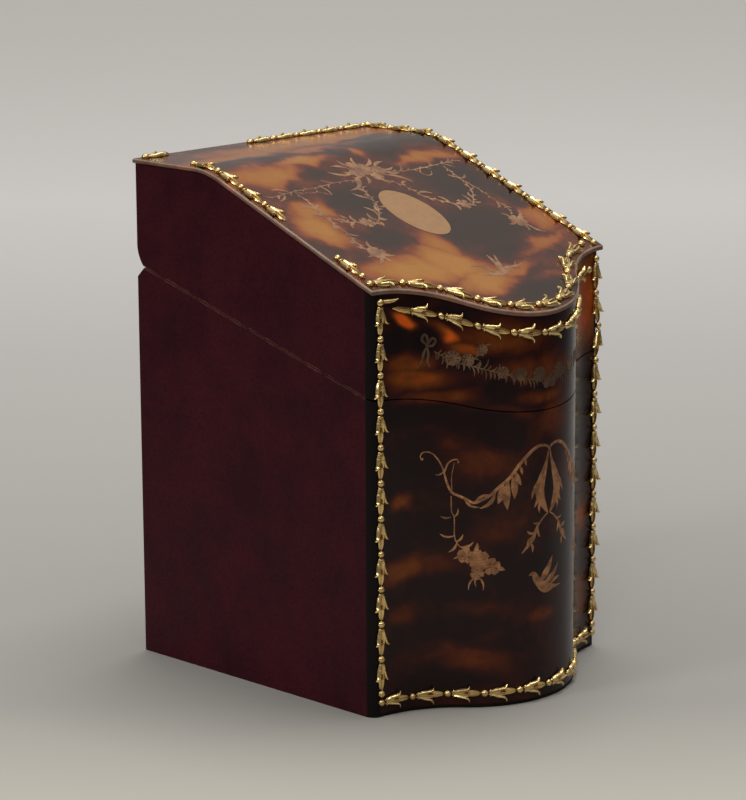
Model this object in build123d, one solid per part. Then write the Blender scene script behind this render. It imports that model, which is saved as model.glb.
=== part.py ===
from build123d import *
import os
from dataclasses import dataclass
from math import atan, atan2, cos, degrees, radians, sin, sqrt, tan

# A small casket in the shape of a knife box: a serpentine front of tortoiseshell,
# leather on the other sides, and a sloping lid that hinges at the back.
# Millimetres. X runs to the right, the front looks towards -Y, +Z is up.
# The origin is on the underside, midway between the sides, the back and the bow.

# Case outline
CASE_WIDTH = 78.0            # over the leather sides
CORNER_DEPTH = 76.5          # from the back to the two front corners
BOW_PROJECTION = 18.0        # how far the bow stands in front of the corners
NOSE_RADIUS = 25.0           # convex middle of the serpentine
CORNER_RADIUS = 2.5          # rounding of the front corners, under the gilt strips
CASE_HEIGHT = 120.0          # top of the lid plate at the back
FLAT_TOP_DEPTH = 24.5        # level part of the top, from the back to the bend
TOP_SLOPE = 22.4             # degrees, fall of the top towards the front
BEND_RADIUS = 22.0           # soft bend between the level part and the slope

# Parting line of the lid
LID_HEIGHT = 25.5            # hinge axis below the top of the lid plate
PIN_SETBACK = 2.0            # hinge axis in from the back face
SEAM_SLOPE = 15.9            # degrees, fall of the parting line towards the front
SEAM_GAP = 0.3               # daylight between the two rims
HEEL_RISE = 5.3              # height of the rounding on the back of the lid
CHAMFER_SLOPE = 45.0         # degrees, fall of the bevel on the back of the base
CHAMFER_CLEARANCE = 0.5      # bevel below the hinge axis

# Thicknesses
SKIN = 0.8                   # leather and front shell
SIDE_BOARD = 3.0
BACK_BOARD = 5.2             # thick enough to take the hinge screws
FRONT_BOARD = 3.2
FLOOR_BOARD = 3.5
TOP_BOARD = 2.6
TOP_SHELL = 1.1              # shell plate on the lid
TOP_OVERHANG = 0.5           # how far the plate stands out all round
PLATE_CORNER_RADIUS = 0.4
PLATE_EDGE_RADIUS = 0.4      # round upper edge of the plate
PLATE_UNDER_CHAMFER = 0.2    # bevel of its lower edge
CARD = 1.2                   # lining boards of the base
LID_CARD = 0.8               # lining boards of the lid
PAD = 1.6                    # floor pad
PAD_CLEARANCE = 0.3
PAD_EDGE_CHAMFER = 0.6

# Lip that keeps the closed lid in line
LIP_HEIGHT = 2.0
LIP_CLEARANCE = 0.4

# Butt hinges
HINGE_LENGTH = 15.0
HINGE_INSET = 17.0           # hinge centre in from the side of the case
KNUCKLES = 3
LEAF_WIDTH = 3.4             # from the axis
LEAF_THICKNESS = 0.6
KNUCKLE_RADIUS = 1.1
KNUCKLE_GAP = 0.15
KNUCKLE_RELIEF = 0.2
PIN_RADIUS = 0.45
PIN_RUNNING_CLEARANCE = 0.05
SCREW_HEAD_RADIUS = 0.95
SCREW_HEAD_DEPTH = 0.45
SCREW_RADIUS = 0.5
SCREW_LENGTH = 3.2
SCREW_SIDES = 8
SCREW_SPACING = 9.0

# Stamped gilt strips: a bead, a collar and an open husk, over and over
MOTIF_PITCH = 8.2
STRIP_THICKNESS = 0.6
STRIP_STANDOFF = 0.1         # strips on the front are straight between bends, so they stand off
STRIP_BENDS = 2              # bends of a strip on the front, in each motif
ORNAMENT_SUNK = 0.4          # how deep beads and ridges reach into the strip
BEAD_RADIUS = 0.85
BEAD_HEIGHT = 1.2
BEAD_SIDES = 6
BEAD_TAPER = 26.0
RIDGE_LENGTH = 3.0
RIDGE_WIDTH = 0.8
RIDGE_HEIGHT = 1.0
RIDGE_TAPER = 20.0
CORNER_STRIP_INSET = 2.2     # centre line of the upright strips, in from the side
FOOT_STRIP_HEIGHT = 3.5      # centre line above the table
CORNICE_DROP = 5.0           # centre line of the lid's front strip, below the plate's top
UPRIGHT_DROP = 3.1           # highest bead of the upright strips, below the plate's top
TOP_STRIP_INSET = 1.8        # centre line of the strips on the plate, in from the case side
STRIP_END_GAP = 0.3          # strips stop this far from the rims
BEAD_TO_FOOT = 2.1           # lowest bead of the upright strips, above the foot strip

# Where strips begin and end: the box has lost the rest
CORNICE_FROM_LEFT = 9.3      # first bead, from the left corner along the front
PLATE_FRONT_FROM_LEFT = 1.1  # first bead, from the left corner along the front
FRONT_FROM_RIGHT = 5.5       # last bead of both, from the right corner along the front
LEFT_REAR_START = 18.0       # measured from the back along the plate
LEFT_REAR_MOTIFS = 4
LEFT_FRONT_FROM_CORNER = 5.1  # last bead, from the front corner along the plate
LEFT_FRONT_MOTIFS = 1
BACK_LEFT_END = -3.5         # the back strip reaches this far to the left of the middle
FRAGMENT_FROM_LEFT = 1.5     # the loose motif near the back left corner, in from the side
FRAGMENT_MOTIFS = 1

# Oval plate let into the lid
OVAL_WIDTH = 13.0
OVAL_LENGTH = 21.0
OVAL_THICKNESS = 0.5
OVAL_PROUD = 0.05
OVAL_FROM_BACK = 52.8        # in plan

# Half outline of one motif: share of the pitch along the strip, half width
MOTIF_HALF_OUTLINE = [
    (0.00, BEAD_RADIUS),
    (0.16, 0.45),
    (0.44, 1.20),
    (0.64, 2.30),
    (0.60, 0.95),
    (0.86, 0.30),
]
RIDGE_CENTRE_SHARE = 0.62    # middle of the ridge on the husk's long lobe
LOBE_WIDTH = 2.6             # the widest lobe reaches less far than this from the centre line

# Working values
MARGIN = 1.0                 # cutting blocks overrun by this
TOLERANCE = 0.1              # places that are nearer than this are one place
SLOPE_STEP = 1.0             # step along a strip over which its slope is taken

# Values worked out from the sizes above
HALF_WIDTH = CASE_WIDTH / 2
PIN_HEIGHT = CASE_HEIGHT - LID_HEIGHT
HINGE_OFFSET = HALF_WIDTH - HINGE_INSET
CASE_DEPTH = CORNER_DEPTH + BOW_PROJECTION
Y_BACK = CASE_DEPTH / 2
Y_NOSE = -CASE_DEPTH / 2
Y_CORNER = Y_BACK - CORNER_DEPTH
NOSE_RISE = NOSE_RADIUS - BOW_PROJECTION
FLANK_RADIUS = (HALF_WIDTH**2 + NOSE_RISE**2 - NOSE_RADIUS**2) / (2 * BOW_PROJECTION)
FLANK_TURN = atan2(HALF_WIDTH, FLANK_RADIUS + NOSE_RISE)
NOSE_CENTRE_Y = Y_NOSE + NOSE_RADIUS
FLANK_CENTRE_Y = Y_CORNER - FLANK_RADIUS
PIN_Y = Y_BACK - PIN_SETBACK
PIN_CLEAR_HEEL = HEEL_RISE - SEAM_GAP / 2
HEEL_RADIUS = (PIN_SETBACK**2 + PIN_CLEAR_HEEL**2) / (2 * PIN_SETBACK)
BEND_Y = Y_BACK - FLAT_TOP_DEPTH
BEND_START_Y = BEND_Y + BEND_RADIUS * tan(radians(TOP_SLOPE) / 2)
BEND_END_Y = BEND_START_Y - BEND_RADIUS * sin(radians(TOP_SLOPE))
HALF_REACH = CASE_WIDTH + CASE_DEPTH + CASE_HEIGHT    # longer than anything in the case
REACH = 2 * HALF_REACH
INNER_HALF = HALF_WIDTH - SKIN - SIDE_BOARD
INNER_BACK = SKIN + BACK_BOARD
INNER_FRONT = SKIN + FRONT_BOARD
FLOOR_TOP = SKIN + FLOOR_BOARD

SEAM = Plane(
    origin=(0, PIN_Y, PIN_HEIGHT),
    x_dir=(1, 0, 0),
    z_dir=(0, -sin(radians(SEAM_SLOPE)), cos(radians(SEAM_SLOPE))),
)
CHAMFER = Plane(
    origin=(0, PIN_Y, PIN_HEIGHT - CHAMFER_CLEARANCE),
    x_dir=(1, 0, 0),
    z_dir=(0, sin(radians(CHAMFER_SLOPE)), cos(radians(CHAMFER_SLOPE))),
)


@dataclass(frozen=True)
class Run:
    """A run of motifs: its first bead, its pitch, its count, and whether a bead ends it."""

    start: float
    pitch: float
    count: int
    closed: bool

    @property
    def heads(self):
        return [self.start + self.pitch * number for number in range(self.count)]

    @property
    def end(self):
        return self.start + self.pitch * self.count


MIN_Z = (Align.CENTER, Align.CENTER, Align.MIN)
MAX_Z = (Align.CENTER, Align.CENTER, Align.MAX)


# Outline of the front, and the regions that the pieces are cut from

def behind_front(inset, start_height, end_height):
    """Everything behind the serpentine, which is moved back by inset."""
    turn = degrees(FLANK_TURN)
    shoulder = Y_CORNER + inset
    flank = FLANK_RADIUS + inset
    outline = (
        Line((REACH, shoulder), (HALF_WIDTH, shoulder))
        + CenterArc((HALF_WIDTH, FLANK_CENTRE_Y), flank, 90, turn)
        + CenterArc((0, NOSE_CENTRE_Y), NOSE_RADIUS - inset, turn - 90, -2 * turn)
        + CenterArc((-HALF_WIDTH, FLANK_CENTRE_Y), flank, 90 - turn, turn)
        + Line((-HALF_WIDTH, shoulder), (-REACH, shoulder))
        + Polyline((-REACH, shoulder), (-REACH, REACH), (REACH, REACH), (REACH, shoulder))
    )
    face = make_face(outline)
    return Pos(0, 0, start_height) * extrude(face, end_height - start_height, dir=(0, 0, 1))


def case_block(side, back, front, corner, start_height=0.0, end_height=CASE_HEIGHT):
    """Upright block with the case's plan, moved in by side, back and front."""
    half = HALF_WIDTH - side
    rear = Y_BACK - back
    slab = Pos(0, rear, start_height) * Box(
        2 * half, REACH, end_height - start_height, align=(Align.CENTER, Align.MAX, Align.MIN)
    )
    block = slab & behind_front(front, start_height, end_height)
    if corner > 0:
        block = fillet(front_corner_edges(block), corner)
    return block


def front_corner_edges(block):
    """The two upright edges where the sides meet the front."""
    uprights = block.edges().filter_by(Axis.Z)
    extreme = max(edge.center().X for edge in uprights)
    outer = [edge for edge in uprights if abs(abs(edge.center().X) - extreme) < TOLERANCE]
    return sorted(outer, key=lambda edge: edge.center().Y)[:2]


def profile_block(curve):
    """Block across the whole case with the given outline in the Y-Z plane."""
    return extrude(make_face(Plane.YZ * curve), HALF_REACH, both=True)


def under_top(drop):
    """Everything under the top of the plate, moved down square to it by drop."""
    level = CASE_HEIGHT - drop
    flat = Line((REACH, level), (BEND_START_Y, level))
    bend = JernArc((BEND_START_Y, level), (-1, 0), BEND_RADIUS - drop, TOP_SLOPE)
    slope = PolarLine(bend @ 1, HALF_REACH, 180 + TOP_SLOPE)
    close = Polyline(slope @ 1, (-REACH, -REACH), (REACH, -REACH), (REACH, level))
    return profile_block(flat + bend + slope + close)


def above_seam(offset):
    return SEAM * Pos(0, 0, offset) * Box(REACH, REACH, REACH, align=MIN_Z)


def below_seam(offset):
    return SEAM * Pos(0, 0, -offset) * Box(REACH, REACH, REACH, align=MAX_Z)


def below_chamfer(inset):
    """Everything under the bevel along the top of the base's back."""
    return CHAMFER * Pos(0, 0, -inset) * Box(REACH, REACH, REACH, align=MAX_Z)


def heel_block(inset):
    """Everything in front of the lid's back, whose lower edge is rounded."""
    radius = HEEL_RADIUS - inset
    back = Y_BACK - inset
    heel = PIN_HEIGHT + HEEL_RISE
    front = back - radius
    outline = (
        Line((back, REACH), (back, heel))
        + CenterArc((front, heel), radius, 0, -90)
        + Polyline(
            (front, heel - radius), (front, -REACH), (-REACH, -REACH), (-REACH, REACH), (back, REACH)
        )
    )
    return profile_block(outline)


def base_cut(inset):
    return below_seam(SEAM_GAP / 2) & below_chamfer(inset)


def lid_cut(inset):
    return above_seam(SEAM_GAP / 2) & heel_block(inset)


def knuckle_reliefs():
    """Round troughs in which the hinge knuckles turn."""
    radius = KNUCKLE_RADIUS + KNUCKLE_RELIEF
    length = HINGE_LENGTH + 2 * KNUCKLE_RELIEF
    return [
        Pos(side * HINGE_OFFSET, PIN_Y, PIN_HEIGHT) * Rot(0, 90, 0) * Cylinder(radius, length)
        for side in (-1, 1)
    ]


# Butt hinges

def leaf_slab(side, up, width):
    """Plain slab of a leaf. up is +1 on the lid and -1 on the base."""
    middle = up * (SEAM_GAP + LEAF_THICKNESS) / 2
    slab = Box(HINGE_LENGTH, width, LEAF_THICKNESS, align=(Align.CENTER, Align.MAX, Align.CENTER))
    return SEAM * Pos(side * HINGE_OFFSET, 0, middle) * slab


def knuckle_place(side, index):
    """Place on the axis of one knuckle, counted from the left of its hinge."""
    from_middle = (index - (KNUCKLES - 1) / 2) * HINGE_LENGTH / KNUCKLES
    return Pos(side * HINGE_OFFSET + from_middle, PIN_Y, PIN_HEIGHT)


def knuckle(side, index):
    length = HINGE_LENGTH / KNUCKLES - KNUCKLE_GAP
    return knuckle_place(side, index) * Rot(0, 90, 0) * Cylinder(KNUCKLE_RADIUS, length)


def knuckle_notch(side, index):
    """Square notch in a leaf, in which the other leaf's knuckle turns."""
    length = HINGE_LENGTH / KNUCKLES + KNUCKLE_GAP
    width = 2 * (KNUCKLE_RADIUS + KNUCKLE_GAP)
    return knuckle_place(side, index) * Rot(SEAM_SLOPE, 0, 0) * Box(length, width, width)


def hinge_leaf(side, up, bore):
    """A leaf with every other knuckle, notched around the knuckles of the other leaf."""
    own = range(0 if up < 0 else 1, KNUCKLES, 2)
    other = range(1 if up < 0 else 0, KNUCKLES, 2)
    leaf = leaf_slab(side, up, LEAF_WIDTH) - [knuckle_notch(side, index) for index in other]
    leaf += [knuckle(side, index) for index in own]
    leaf -= Pos(side * HINGE_OFFSET, PIN_Y, PIN_HEIGHT) * Rot(0, 90, 0) * Cylinder(bore, HINGE_LENGTH)
    return leaf - hinge_screws(side, up)


def hinge_pin(side):
    length = HINGE_LENGTH - KNUCKLE_GAP
    return Pos(side * HINGE_OFFSET, PIN_Y, PIN_HEIGHT) * Rot(0, 90, 0) * Cylinder(PIN_RADIUS, length)


def hinge_screws(side, up):
    """Two countersunk screws, which run from the rim into the back board."""
    shank = RegularPolygon(SCREW_RADIUS, SCREW_SIDES)
    flare = degrees(atan((SCREW_HEAD_RADIUS - SCREW_RADIUS) / SCREW_HEAD_DEPTH))
    head = Pos(0, 0, -SCREW_HEAD_DEPTH) * extrude(shank, SCREW_HEAD_DEPTH, taper=-flare)
    screw = head + Pos(0, 0, -SCREW_LENGTH) * extrude(shank, SCREW_LENGTH - SCREW_HEAD_DEPTH)
    if up > 0:
        screw = Rot(180, 0, 0) * screw
    line = -(KNUCKLE_RADIUS + KNUCKLE_RELIEF + LEAF_WIDTH) / 2
    return [
        SEAM * Pos(side * HINGE_OFFSET + end * SCREW_SPACING / 2, line, up * SEAM_GAP / 2) * screw
        for end in (-1, 1)
    ]


def without_hinges(piece, up):
    """The piece with its hinge recesses, troughs and screw holes."""
    cuts = knuckle_reliefs()
    for side in (-1, 1):
        cuts.append(leaf_slab(side, up, LEAF_WIDTH))
        cuts.extend(hinge_screws(side, up))
    return piece - cuts


# Carcass and skins, shared by base and lid

def side_slab(side, outer, thickness, rear, front):
    """Upright board along one side, from rear to front."""
    centre = side * (HALF_WIDTH - outer - thickness / 2)
    slab = Box(thickness, rear - front, CASE_HEIGHT, align=(Align.CENTER, Align.MAX, Align.MIN))
    return Pos(centre, rear, 0) * slab


def back_slab(outer, thickness, half_width):
    slab = Box(2 * half_width, thickness, CASE_HEIGHT, align=(Align.CENTER, Align.MAX, Align.MIN))
    return Pos(0, Y_BACK - outer, 0) * slab


def front_slab(outer, inner, half_width, corner=0.0):
    """Upright serpentine board between two insets of the front."""
    side = HALF_WIDTH - half_width
    solid = case_block(side, 0, outer, corner)
    return solid - behind_front(inner, -MARGIN, CASE_HEIGHT + MARGIN)


def wall_set():
    """The four upright boards, before they are cut at the rims."""
    rear = Y_BACK - INNER_BACK
    front = Y_CORNER + INNER_FRONT
    half = HALF_WIDTH - SKIN
    return {
        "board_left": side_slab(-1, SKIN, SIDE_BOARD, rear, front),
        "board_right": side_slab(1, SKIN, SIDE_BOARD, rear, front),
        "board_back": back_slab(SKIN, BACK_BOARD, half),
        "board_front": front_slab(SKIN, INNER_FRONT, half, CORNER_RADIUS - SKIN),
    }


def skin_set():
    """Leather on three sides and shell on the front, which meet under the upright strips."""
    ring = case_block(0, 0, 0, CORNER_RADIUS) - case_block(
        SKIN, SKIN, SKIN, CORNER_RADIUS - SKIN, -MARGIN, CASE_HEIGHT + MARGIN
    )
    lap = HALF_WIDTH - CORNER_STRIP_INSET
    rear = Y_BACK - SKIN
    skins = {"leather_back": back_slab(0, SKIN, HALF_WIDTH)}
    for side, name in ((-1, "leather_left"), (1, "leather_right")):
        edge = side_slab(side, 0, CORNER_STRIP_INSET, rear, Y_NOSE)
        skins[name] = ring & edge
    middle = Pos(0, Y_BACK - SKIN, 0) * Box(
        2 * lap, CASE_DEPTH, CASE_HEIGHT, align=(Align.CENTER, Align.MAX, Align.MIN)
    )
    skins["shell_front"] = ring & middle
    return skins


# Base

def base_pieces():
    pieces = {}
    boards_cut = base_cut(SKIN)
    for name, board in wall_set().items():
        pieces["base_" + name] = board & boards_cut & above_height(FLOOR_TOP)
    pieces["base_board_back"] = without_hinges(pieces["base_board_back"], -1)
    pieces["base_board_floor"] = case_block(SKIN, SKIN, SKIN, CORNER_RADIUS - SKIN, SKIN, FLOOR_TOP)
    for name, skin in skin_set().items():
        pieces["base_" + name] = skin & base_cut(0) & above_height(SKIN)
    pieces["base_leather_back"] -= knuckle_reliefs()
    pieces["base_leather_underside"] = case_block(0, 0, 0, CORNER_RADIUS, 0, SKIN)
    pieces.update(base_linings())
    return pieces


def above_height(height):
    return Pos(0, 0, height) * Box(REACH, REACH, REACH, align=MIN_Z)


def base_linings():
    """Covered cards inside the base. The two side cards stand up as the lid's lip."""
    rear = Y_BACK - INNER_BACK
    front = Y_CORNER + INNER_FRONT
    half = INNER_HALF
    outer = HALF_WIDTH - half
    rim = below_seam(SEAM_GAP / 2) & above_height(FLOOR_TOP)
    lip_rim = below_seam(-LIP_HEIGHT) & above_height(FLOOR_TOP)
    linings = {}
    for side, name in ((-1, "base_lining_left"), (1, "base_lining_right")):
        card = side_slab(side, outer, CARD, rear, front) & rim
        lip_inset = outer + LIP_CLEARANCE
        lip_rear = rear - CARD - LIP_CLEARANCE
        lip_front = front + LIP_CLEARANCE
        lip = side_slab(side, lip_inset, CARD - LIP_CLEARANCE, lip_rear, lip_front) & lip_rim
        linings[name] = card + lip
    linings["base_lining_back"] = back_slab(INNER_BACK, CARD, half - CARD) & rim
    bow = front_slab(INNER_FRONT, INNER_FRONT + CARD, half)
    for side in (-1, 1):
        bow -= side_slab(side, outer, CARD, rear, front)
    linings["base_lining_front"] = bow & rim
    pad_inset = CARD + PAD_CLEARANCE
    pad = case_block(
        outer + pad_inset, INNER_BACK + pad_inset, INNER_FRONT + pad_inset, 0,
        FLOOR_TOP, FLOOR_TOP + PAD,
    )
    crown = pad.faces().sort_by(Axis.Z)[-1].edges()
    linings["base_pad"] = chamfer(crown, PAD_EDGE_CHAMFER)
    return linings


# Lid

def lid_pieces():
    pieces = {}
    under_plate = under_top(TOP_SHELL)
    under_board = under_top(TOP_SHELL + TOP_BOARD)
    boards_cut = lid_cut(SKIN) & under_board
    for name, board in wall_set().items():
        pieces["lid_" + name] = board & boards_cut
    pieces["lid_board_back"] = without_hinges(pieces["lid_board_back"], 1)
    top = case_block(SKIN, SKIN, SKIN, CORNER_RADIUS - SKIN)
    pieces["lid_board_top"] = (top & under_plate) - under_board
    for name, skin in skin_set().items():
        pieces["lid_" + name] = skin & lid_cut(0) & under_plate
    pieces["lid_leather_back"] -= knuckle_reliefs()
    pieces["lid_shell_top"] = lid_plate()
    pieces["lid_oval_plate"] = oval_plate(OVAL_PROUD)
    pieces.update(lid_linings(under_board))
    return pieces


def lid_plate():
    """Bent shell plate with a rounded edge all along, and a recess for the oval."""
    block = case_block(
        -TOP_OVERHANG, -TOP_OVERHANG, -TOP_OVERHANG, PLATE_CORNER_RADIUS, 0, CASE_HEIGHT
    )
    plate = (block & under_top(0)) - under_top(TOP_SHELL)
    plate = chamfer(plate_rim(plate, TOP_SHELL), PLATE_UNDER_CHAMFER)
    plate = fillet(plate_rim(plate, 0.0), PLATE_EDGE_RADIUS)
    return plate - oval_plate(0)


def plate_rim(plate, drop):
    """Edges all round the plate's top, or all round its underside where drop is its thickness."""
    rim = []
    for edge in plate.edges():
        middle = edge @ 0.5
        depth = (top_height(middle.Y) - middle.Z) * cos(radians(top_fall(middle.Y)))
        upright = abs((edge % 0.5).Z) > cos(radians(TOP_SLOPE))
        if abs(depth - drop) < TOLERANCE and not upright and not crosses_bend(edge):
            rim.append(edge)
    return rim


def crosses_bend(edge):
    """True for an edge that runs over the plate from side to side, where the bend begins or ends."""
    middle = edge @ 0.5
    level = abs((edge % 0.5).X) > cos(radians(TOP_SLOPE))
    return level and BEND_END_Y - TOP_SHELL < middle.Y < BEND_START_Y + TOP_SHELL


def oval_plate(proud):
    """Oval escutcheon, let flush into the slope of the plate."""
    centre_y = Y_BACK - OVAL_FROM_BACK
    flat = Plane(
        origin=(0, centre_y, top_height(centre_y)),
        x_dir=(1, 0, 0),
        z_dir=(0, -sin(radians(TOP_SLOPE)), cos(radians(TOP_SLOPE))),
    )
    oval = extrude(Ellipse(OVAL_WIDTH / 2, OVAL_LENGTH / 2), OVAL_THICKNESS + proud)
    return flat * Pos(0, 0, -OVAL_THICKNESS) * oval


def lid_linings(under_board):
    """Covered cards inside the lid, clear of the lip of the base."""
    rear = Y_BACK - INNER_BACK
    front = Y_CORNER + INNER_FRONT
    half = INNER_HALF
    outer = HALF_WIDTH - half
    ceiling = under_top(TOP_SHELL + TOP_BOARD + LID_CARD)
    space = ceiling & above_seam(LIP_HEIGHT + LIP_CLEARANCE)
    linings = {}
    for side, name in ((-1, "lid_lining_left"), (1, "lid_lining_right")):
        linings[name] = side_slab(side, outer, LID_CARD, rear, front) & space
    linings["lid_lining_back"] = back_slab(INNER_BACK, LID_CARD, half - LID_CARD) & space
    bow = front_slab(INNER_FRONT, INNER_FRONT + LID_CARD, half)
    for side in (-1, 1):
        bow -= side_slab(side, outer, LID_CARD, rear, front)
    linings["lid_lining_front"] = bow & space
    inside = case_block(outer, INNER_BACK, INNER_FRONT, 0)
    linings["lid_lining_top"] = (inside & under_board) - ceiling
    return linings


# Gilt strips

def top_height(y):
    """Height of the plate's top at a depth."""
    if y > BEND_START_Y:
        return CASE_HEIGHT
    if y > BEND_END_Y:
        return CASE_HEIGHT - BEND_RADIUS + sqrt(BEND_RADIUS**2 - (BEND_START_Y - y) ** 2)
    end = CASE_HEIGHT - BEND_RADIUS * (1 - cos(radians(TOP_SLOPE)))
    return end - (BEND_END_Y - y) * tan(radians(TOP_SLOPE))


def top_fall(y):
    """Fall of the plate at a depth, in degrees."""
    if y > BEND_START_Y:
        return 0.0
    if y > BEND_END_Y:
        return degrees(atan((BEND_START_Y - y) / sqrt(BEND_RADIUS**2 - (BEND_START_Y - y) ** 2)))
    return TOP_SLOPE


def front_at(distance):
    """Plan point and outward direction of the serpentine, at a distance from its middle."""
    side = 1 if distance >= 0 else -1
    along = abs(distance)
    nose = NOSE_RADIUS * FLANK_TURN
    if along < nose:
        angle = along / NOSE_RADIUS
        x = NOSE_RADIUS * sin(angle)
        y = NOSE_CENTRE_Y - NOSE_RADIUS * cos(angle)
    elif along < front_half_length():
        angle = (front_half_length() - along) / FLANK_RADIUS
        x = HALF_WIDTH - FLANK_RADIUS * sin(angle)
        y = FLANK_CENTRE_Y + FLANK_RADIUS * cos(angle)
    else:
        angle = 0.0
        x = HALF_WIDTH + along - front_half_length()
        y = Y_CORNER
    return Vector(side * x, y), Vector(side * sin(angle), -cos(angle))


def front_half_length():
    """Length of the serpentine from its middle to one side."""
    return (NOSE_RADIUS + FLANK_RADIUS) * FLANK_TURN


def front_distance(x):
    """Distance along the serpentine to the point at x, on its outer part."""
    angle = atan2(HALF_WIDTH - x, sqrt(FLANK_RADIUS**2 - (HALF_WIDTH - x) ** 2))
    return front_half_length() - FLANK_RADIUS * angle


def fitted_run(length):
    """Number and pitch of the motifs that fill a length."""
    count = max(1, round(length / MOTIF_PITCH))
    return count, length / count


def strip_points(place, run):
    """Outline of a strip of motifs. place turns a distance and a half width into a point."""
    outline = [(head + run.pitch * share, half) for head in run.heads for share, half in MOTIF_HALF_OUTLINE]
    tip = run.end
    if run.closed:
        outline.append((run.end, BEAD_RADIUS))
        tip = run.end + BEAD_RADIUS
    right = [place(*point) for point in outline]
    left = [place(along, -half) for along, half in reversed(outline)]
    return [place(run.start - BEAD_RADIUS, 0.0)] + right + [place(tip, 0.0)] + left


def strip_ornament(frame_at, run):
    """Beads and husk ridges, each on its own frame square to the surface."""
    lift = STRIP_THICKNESS - ORNAMENT_SUNK
    bead = Pos(0, 0, lift) * extrude(
        RegularPolygon(BEAD_RADIUS, BEAD_SIDES), BEAD_HEIGHT - lift, taper=BEAD_TAPER
    )
    ridge = Pos(0, 0, lift) * extrude(
        Rectangle(RIDGE_LENGTH, RIDGE_WIDTH), RIDGE_HEIGHT - lift, taper=RIDGE_TAPER
    )
    bead_heads = run.heads + [run.end] if run.closed else run.heads
    beads = [frame_at(head) * bead for head in bead_heads]
    return beads + [frame_at(head + run.pitch * RIDGE_CENTRE_SHARE) * ridge for head in run.heads]


def make_strip(place, frame_at, run, plane, band):
    """Strip whose outline is cut out of a thin band that hugs the surface."""
    face = make_face(plane * Polyline(*strip_points(place, run), close=True))
    blank = extrude(face, HALF_REACH, both=True)
    return (blank & band) + strip_ornament(frame_at, run)


def front_band(bends):
    """Thin band in front of the serpentine, which is straight from each bend to the next."""
    inner = []
    outer = []
    for distance in bends:
        point, out = front_at(distance)
        inner.append(point + out * STRIP_STANDOFF)
        outer.append(point + out * (STRIP_STANDOFF + STRIP_THICKNESS))
    face = make_face(Polyline(*inner, *reversed(outer), close=True))
    return extrude(face, CASE_HEIGHT, dir=(0, 0, 1))


def run_bends(run):
    """Distances at which a strip along the front is bent, with a straight end at each side."""
    step = run.pitch / STRIP_BENDS
    inside = [run.start + step * number for number in range(run.count * STRIP_BENDS + 1)]
    return [run.start - LOBE_WIDTH] + inside + [run.end + LOBE_WIDTH]


def top_band():
    return under_top(-STRIP_THICKNESS) - under_top(0)


def front_frame(distance, height, turn):
    """Frame on the back of a strip: its X axis runs along the strip, its Z axis points out."""
    point, out = front_at(distance)
    back = point + out * STRIP_STANDOFF
    across = Vector(-out.Y, out.X)
    along = across * cos(turn) + Vector(0, 0, 1) * sin(turn)
    return Plane(origin=(back.X, back.Y, height), x_dir=along, z_dir=(out.X, out.Y, 0)).location


def upright_strip(side, run, top):
    """Strip down one front corner, with its husks open downwards."""
    centre = side * front_distance(HALF_WIDTH - CORNER_STRIP_INSET)
    middle, _ = front_at(centre)

    def place(along, half):
        return (middle.X + half, top - along)

    def frame_at(along):
        return front_frame(centre, top - along, radians(-90))

    flat = front_band([centre - LOBE_WIDTH, centre + LOBE_WIDTH])
    return make_strip(place, frame_at, run, Plane.XZ, flat)


def seam_height(y):
    """Height of the parting plane at a depth."""
    return PIN_HEIGHT - (PIN_Y - y) * tan(radians(SEAM_SLOPE))


def upright_strips():
    """Corner strips, which were cut through where the lid parts from the base."""
    top = top_height(Y_CORNER) - UPRIGHT_DROP
    count, pitch = fitted_run(top - FOOT_STRIP_HEIGHT - BEAD_TO_FOOT)
    on_lid = 1 + int((top - BEAD_RADIUS - seam_height(Y_CORNER)) / pitch)
    rim = SEAM_GAP / 2 + STRIP_END_GAP
    strips = {}
    for side, name in ((-1, "left"), (1, "right")):
        upper = upright_strip(side, Run(0.0, pitch, on_lid, False), top)
        lower = upright_strip(side, Run(on_lid * pitch, pitch, count - on_lid, True), top)
        strips["lid_strip_" + name] = upper & above_seam(rim)
        strips["base_strip_" + name] = lower & below_seam(rim)
    return strips


def front_run(from_left, from_right):
    """Run along the serpentine between two distances from its corners."""
    count, pitch = fitted_run(2 * front_half_length() - from_left - from_right)
    return Run(from_left - front_half_length(), pitch, count, True)


def foot_strip():
    """Strip along the foot of the serpentine, from corner to corner."""
    gap = front_half_length() - front_distance(HALF_WIDTH - CORNER_STRIP_INSET)
    run = front_run(gap, gap)

    def place(along, half):
        return (front_at(along)[0].X, FOOT_STRIP_HEIGHT + half)

    def frame_at(along):
        return front_frame(along, FOOT_STRIP_HEIGHT, 0.0)

    return make_strip(place, frame_at, run, Plane.XZ, front_band(run_bends(run)))


def cornice_strip():
    """Strip under the plate, which follows its slope across the serpentine."""
    run = front_run(CORNICE_FROM_LEFT, FRONT_FROM_RIGHT)

    def height_at(along):
        return top_height(front_at(along)[0].Y) - CORNICE_DROP

    def place(along, half):
        return (front_at(along)[0].X, height_at(along) + half)

    def frame_at(along):
        rise = height_at(along + SLOPE_STEP) - height_at(along - SLOPE_STEP)
        climb = atan(rise / (2 * SLOPE_STEP))
        return front_frame(along, height_at(along), climb)

    return make_strip(place, frame_at, run, Plane.XZ, front_band(run_bends(run)))


def plate_frame(x, y, heading):
    """Frame on the plate: its X axis follows the heading, its Z axis points out."""
    fall = radians(top_fall(y))
    down = Vector(0, -cos(fall), -sin(fall))
    along = Vector(1, 0, 0) * cos(heading) - down * sin(heading)
    out = Vector(0, -sin(fall), cos(fall))
    return Plane(origin=(x, y, top_height(y)), x_dir=along, z_dir=out).location


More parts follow.
